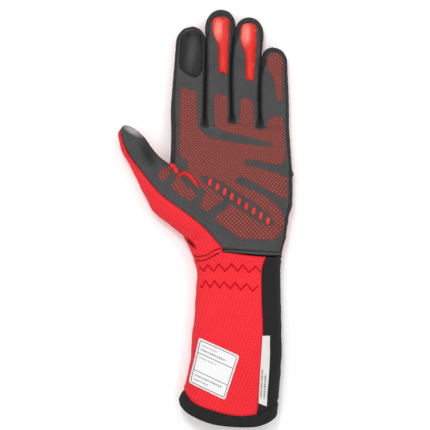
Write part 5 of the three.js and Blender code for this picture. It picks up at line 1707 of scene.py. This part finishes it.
# Two dark cords in the creases beside the folded suede at the heel: painted shade.
for name, line, size in (("upper", heel(shares) + [0, -0.1], mix(0.62, 0.16, shares)),
                         ("lower", heel_fold(shares) + [0, -0.3], 0.24)):
    points, normals = on_form(line, 1)
    cord = tube("heel_cord_" + name, points + normals * 0.2, normals, size, height=0.4, material=HEM_BLACK)
WELT_CORDS = {
    "upper": [(12.8, -23.8), (7.4, -25.6), (0.3, -29.1), (-5.8, -30.2), (-8.6, -29.4)],
    "lower": [(11, -27.6), (2.8, -31.9), (-1.4, -33.4), (-6.8, -33.8)]}
for name, corners in WELT_CORDS.items():
    points, normals = on_form(resampled_open(smooth_line(corners), 0.4), 1)
    cord = tube("welt_cord_" + name, points + normals * 0.5, normals, width=0.42, height=0.3,
                material=DEEP_THREAD)

# %% [markdown]
# ## Floor, light and camera
# The glove is photographed from straight above on white. A large soft light above gives the even shading, a
# second one from the upper left lights the thumb and the patches, whose highlights are also painted, and a
# pale floor closes it.

# %% Stage
def flat_finish(name, colour, roughness):
    """A plain matt surface with a trace of grain."""
    f = Finish(name, Roughness=roughness, Specular_IOR_Level=0.2)
    grain = f.noise(f.place(), 40.0, 2.0)
    return f.set(Base_Color=f.between(colour, tuple(c * 0.985 for c in colour), grain))


FLOOR_REACH, FLOOR_Z = 3.0, -0.0012
floor_mesh = bpy.data.meshes.new("floor")
floor_corners = [(x * FLOOR_REACH, y * FLOOR_REACH, FLOOR_Z) for x, y in ((-1, -1), (1, -1), (1, 1), (-1, 1))]
floor_mesh.from_pydata(floor_corners, [], [[0, 1, 2, 3]])
floor_mesh.materials.append(flat_finish("pale floor", (0.97, 0.97, 0.97), 0.9))
floor = bpy.data.objects.new("floor", floor_mesh)
bpy.context.scene.collection.objects.link(floor)

world = bpy.data.worlds.new("studio")
world.use_nodes = True
world.node_tree.nodes["Background"].inputs["Color"].default_value = (1, 1, 1, 1)
world.node_tree.nodes["Background"].inputs["Strength"].default_value = 0.6
bpy.context.scene.world = world


def area_light(name, place, size, power):
    """A round soft light that points at the glove."""
    light = bpy.data.lights.new(name, "AREA")
    light.shape, light.size, light.energy = "DISK", size, power
    lamp = bpy.data.objects.new(name, light)
    lamp.location = place
    x, y, z = (-value for value in place)
    lamp.rotation_euler = (math.atan2(math.hypot(x, y), -z), 0, math.atan2(y, x) - math.pi / 2)
    bpy.context.scene.collection.objects.link(lamp)


area_light("overhead softbox", (0.0, 0.1, 2.9), 5.0, 58.0)
area_light("soft light from the upper left", (-0.2, 0.63, 1.9), 0.35, 10.0)
area_light("soft light from the upper right", (0.8, 0.9, 1.4), 0.4, 3.0)

PIXEL = 0.8  # millimetres of the glove for each pixel of the photograph
CENTRE = ((215 - 205.3) * PIXEL * MM, (218.3 - 215) * PIXEL * MM)
HEIGHT = 2.4
camera = bpy.data.cameras.new("camera")
camera.sensor_width = 36
camera.lens = 36 * HEIGHT / (430 * PIXEL * MM)
camera.clip_end = 20
eye = bpy.data.objects.new("camera", camera)
eye.location = (*CENTRE, HEIGHT + 0.016)
bpy.context.scene.collection.objects.link(eye)
bpy.context.scene.camera = eye
bpy.context.scene.view_settings.view_transform = "Standard"
print("camera", [round(v, 4) for v in eye.location], "lens", round(camera.lens, 1))
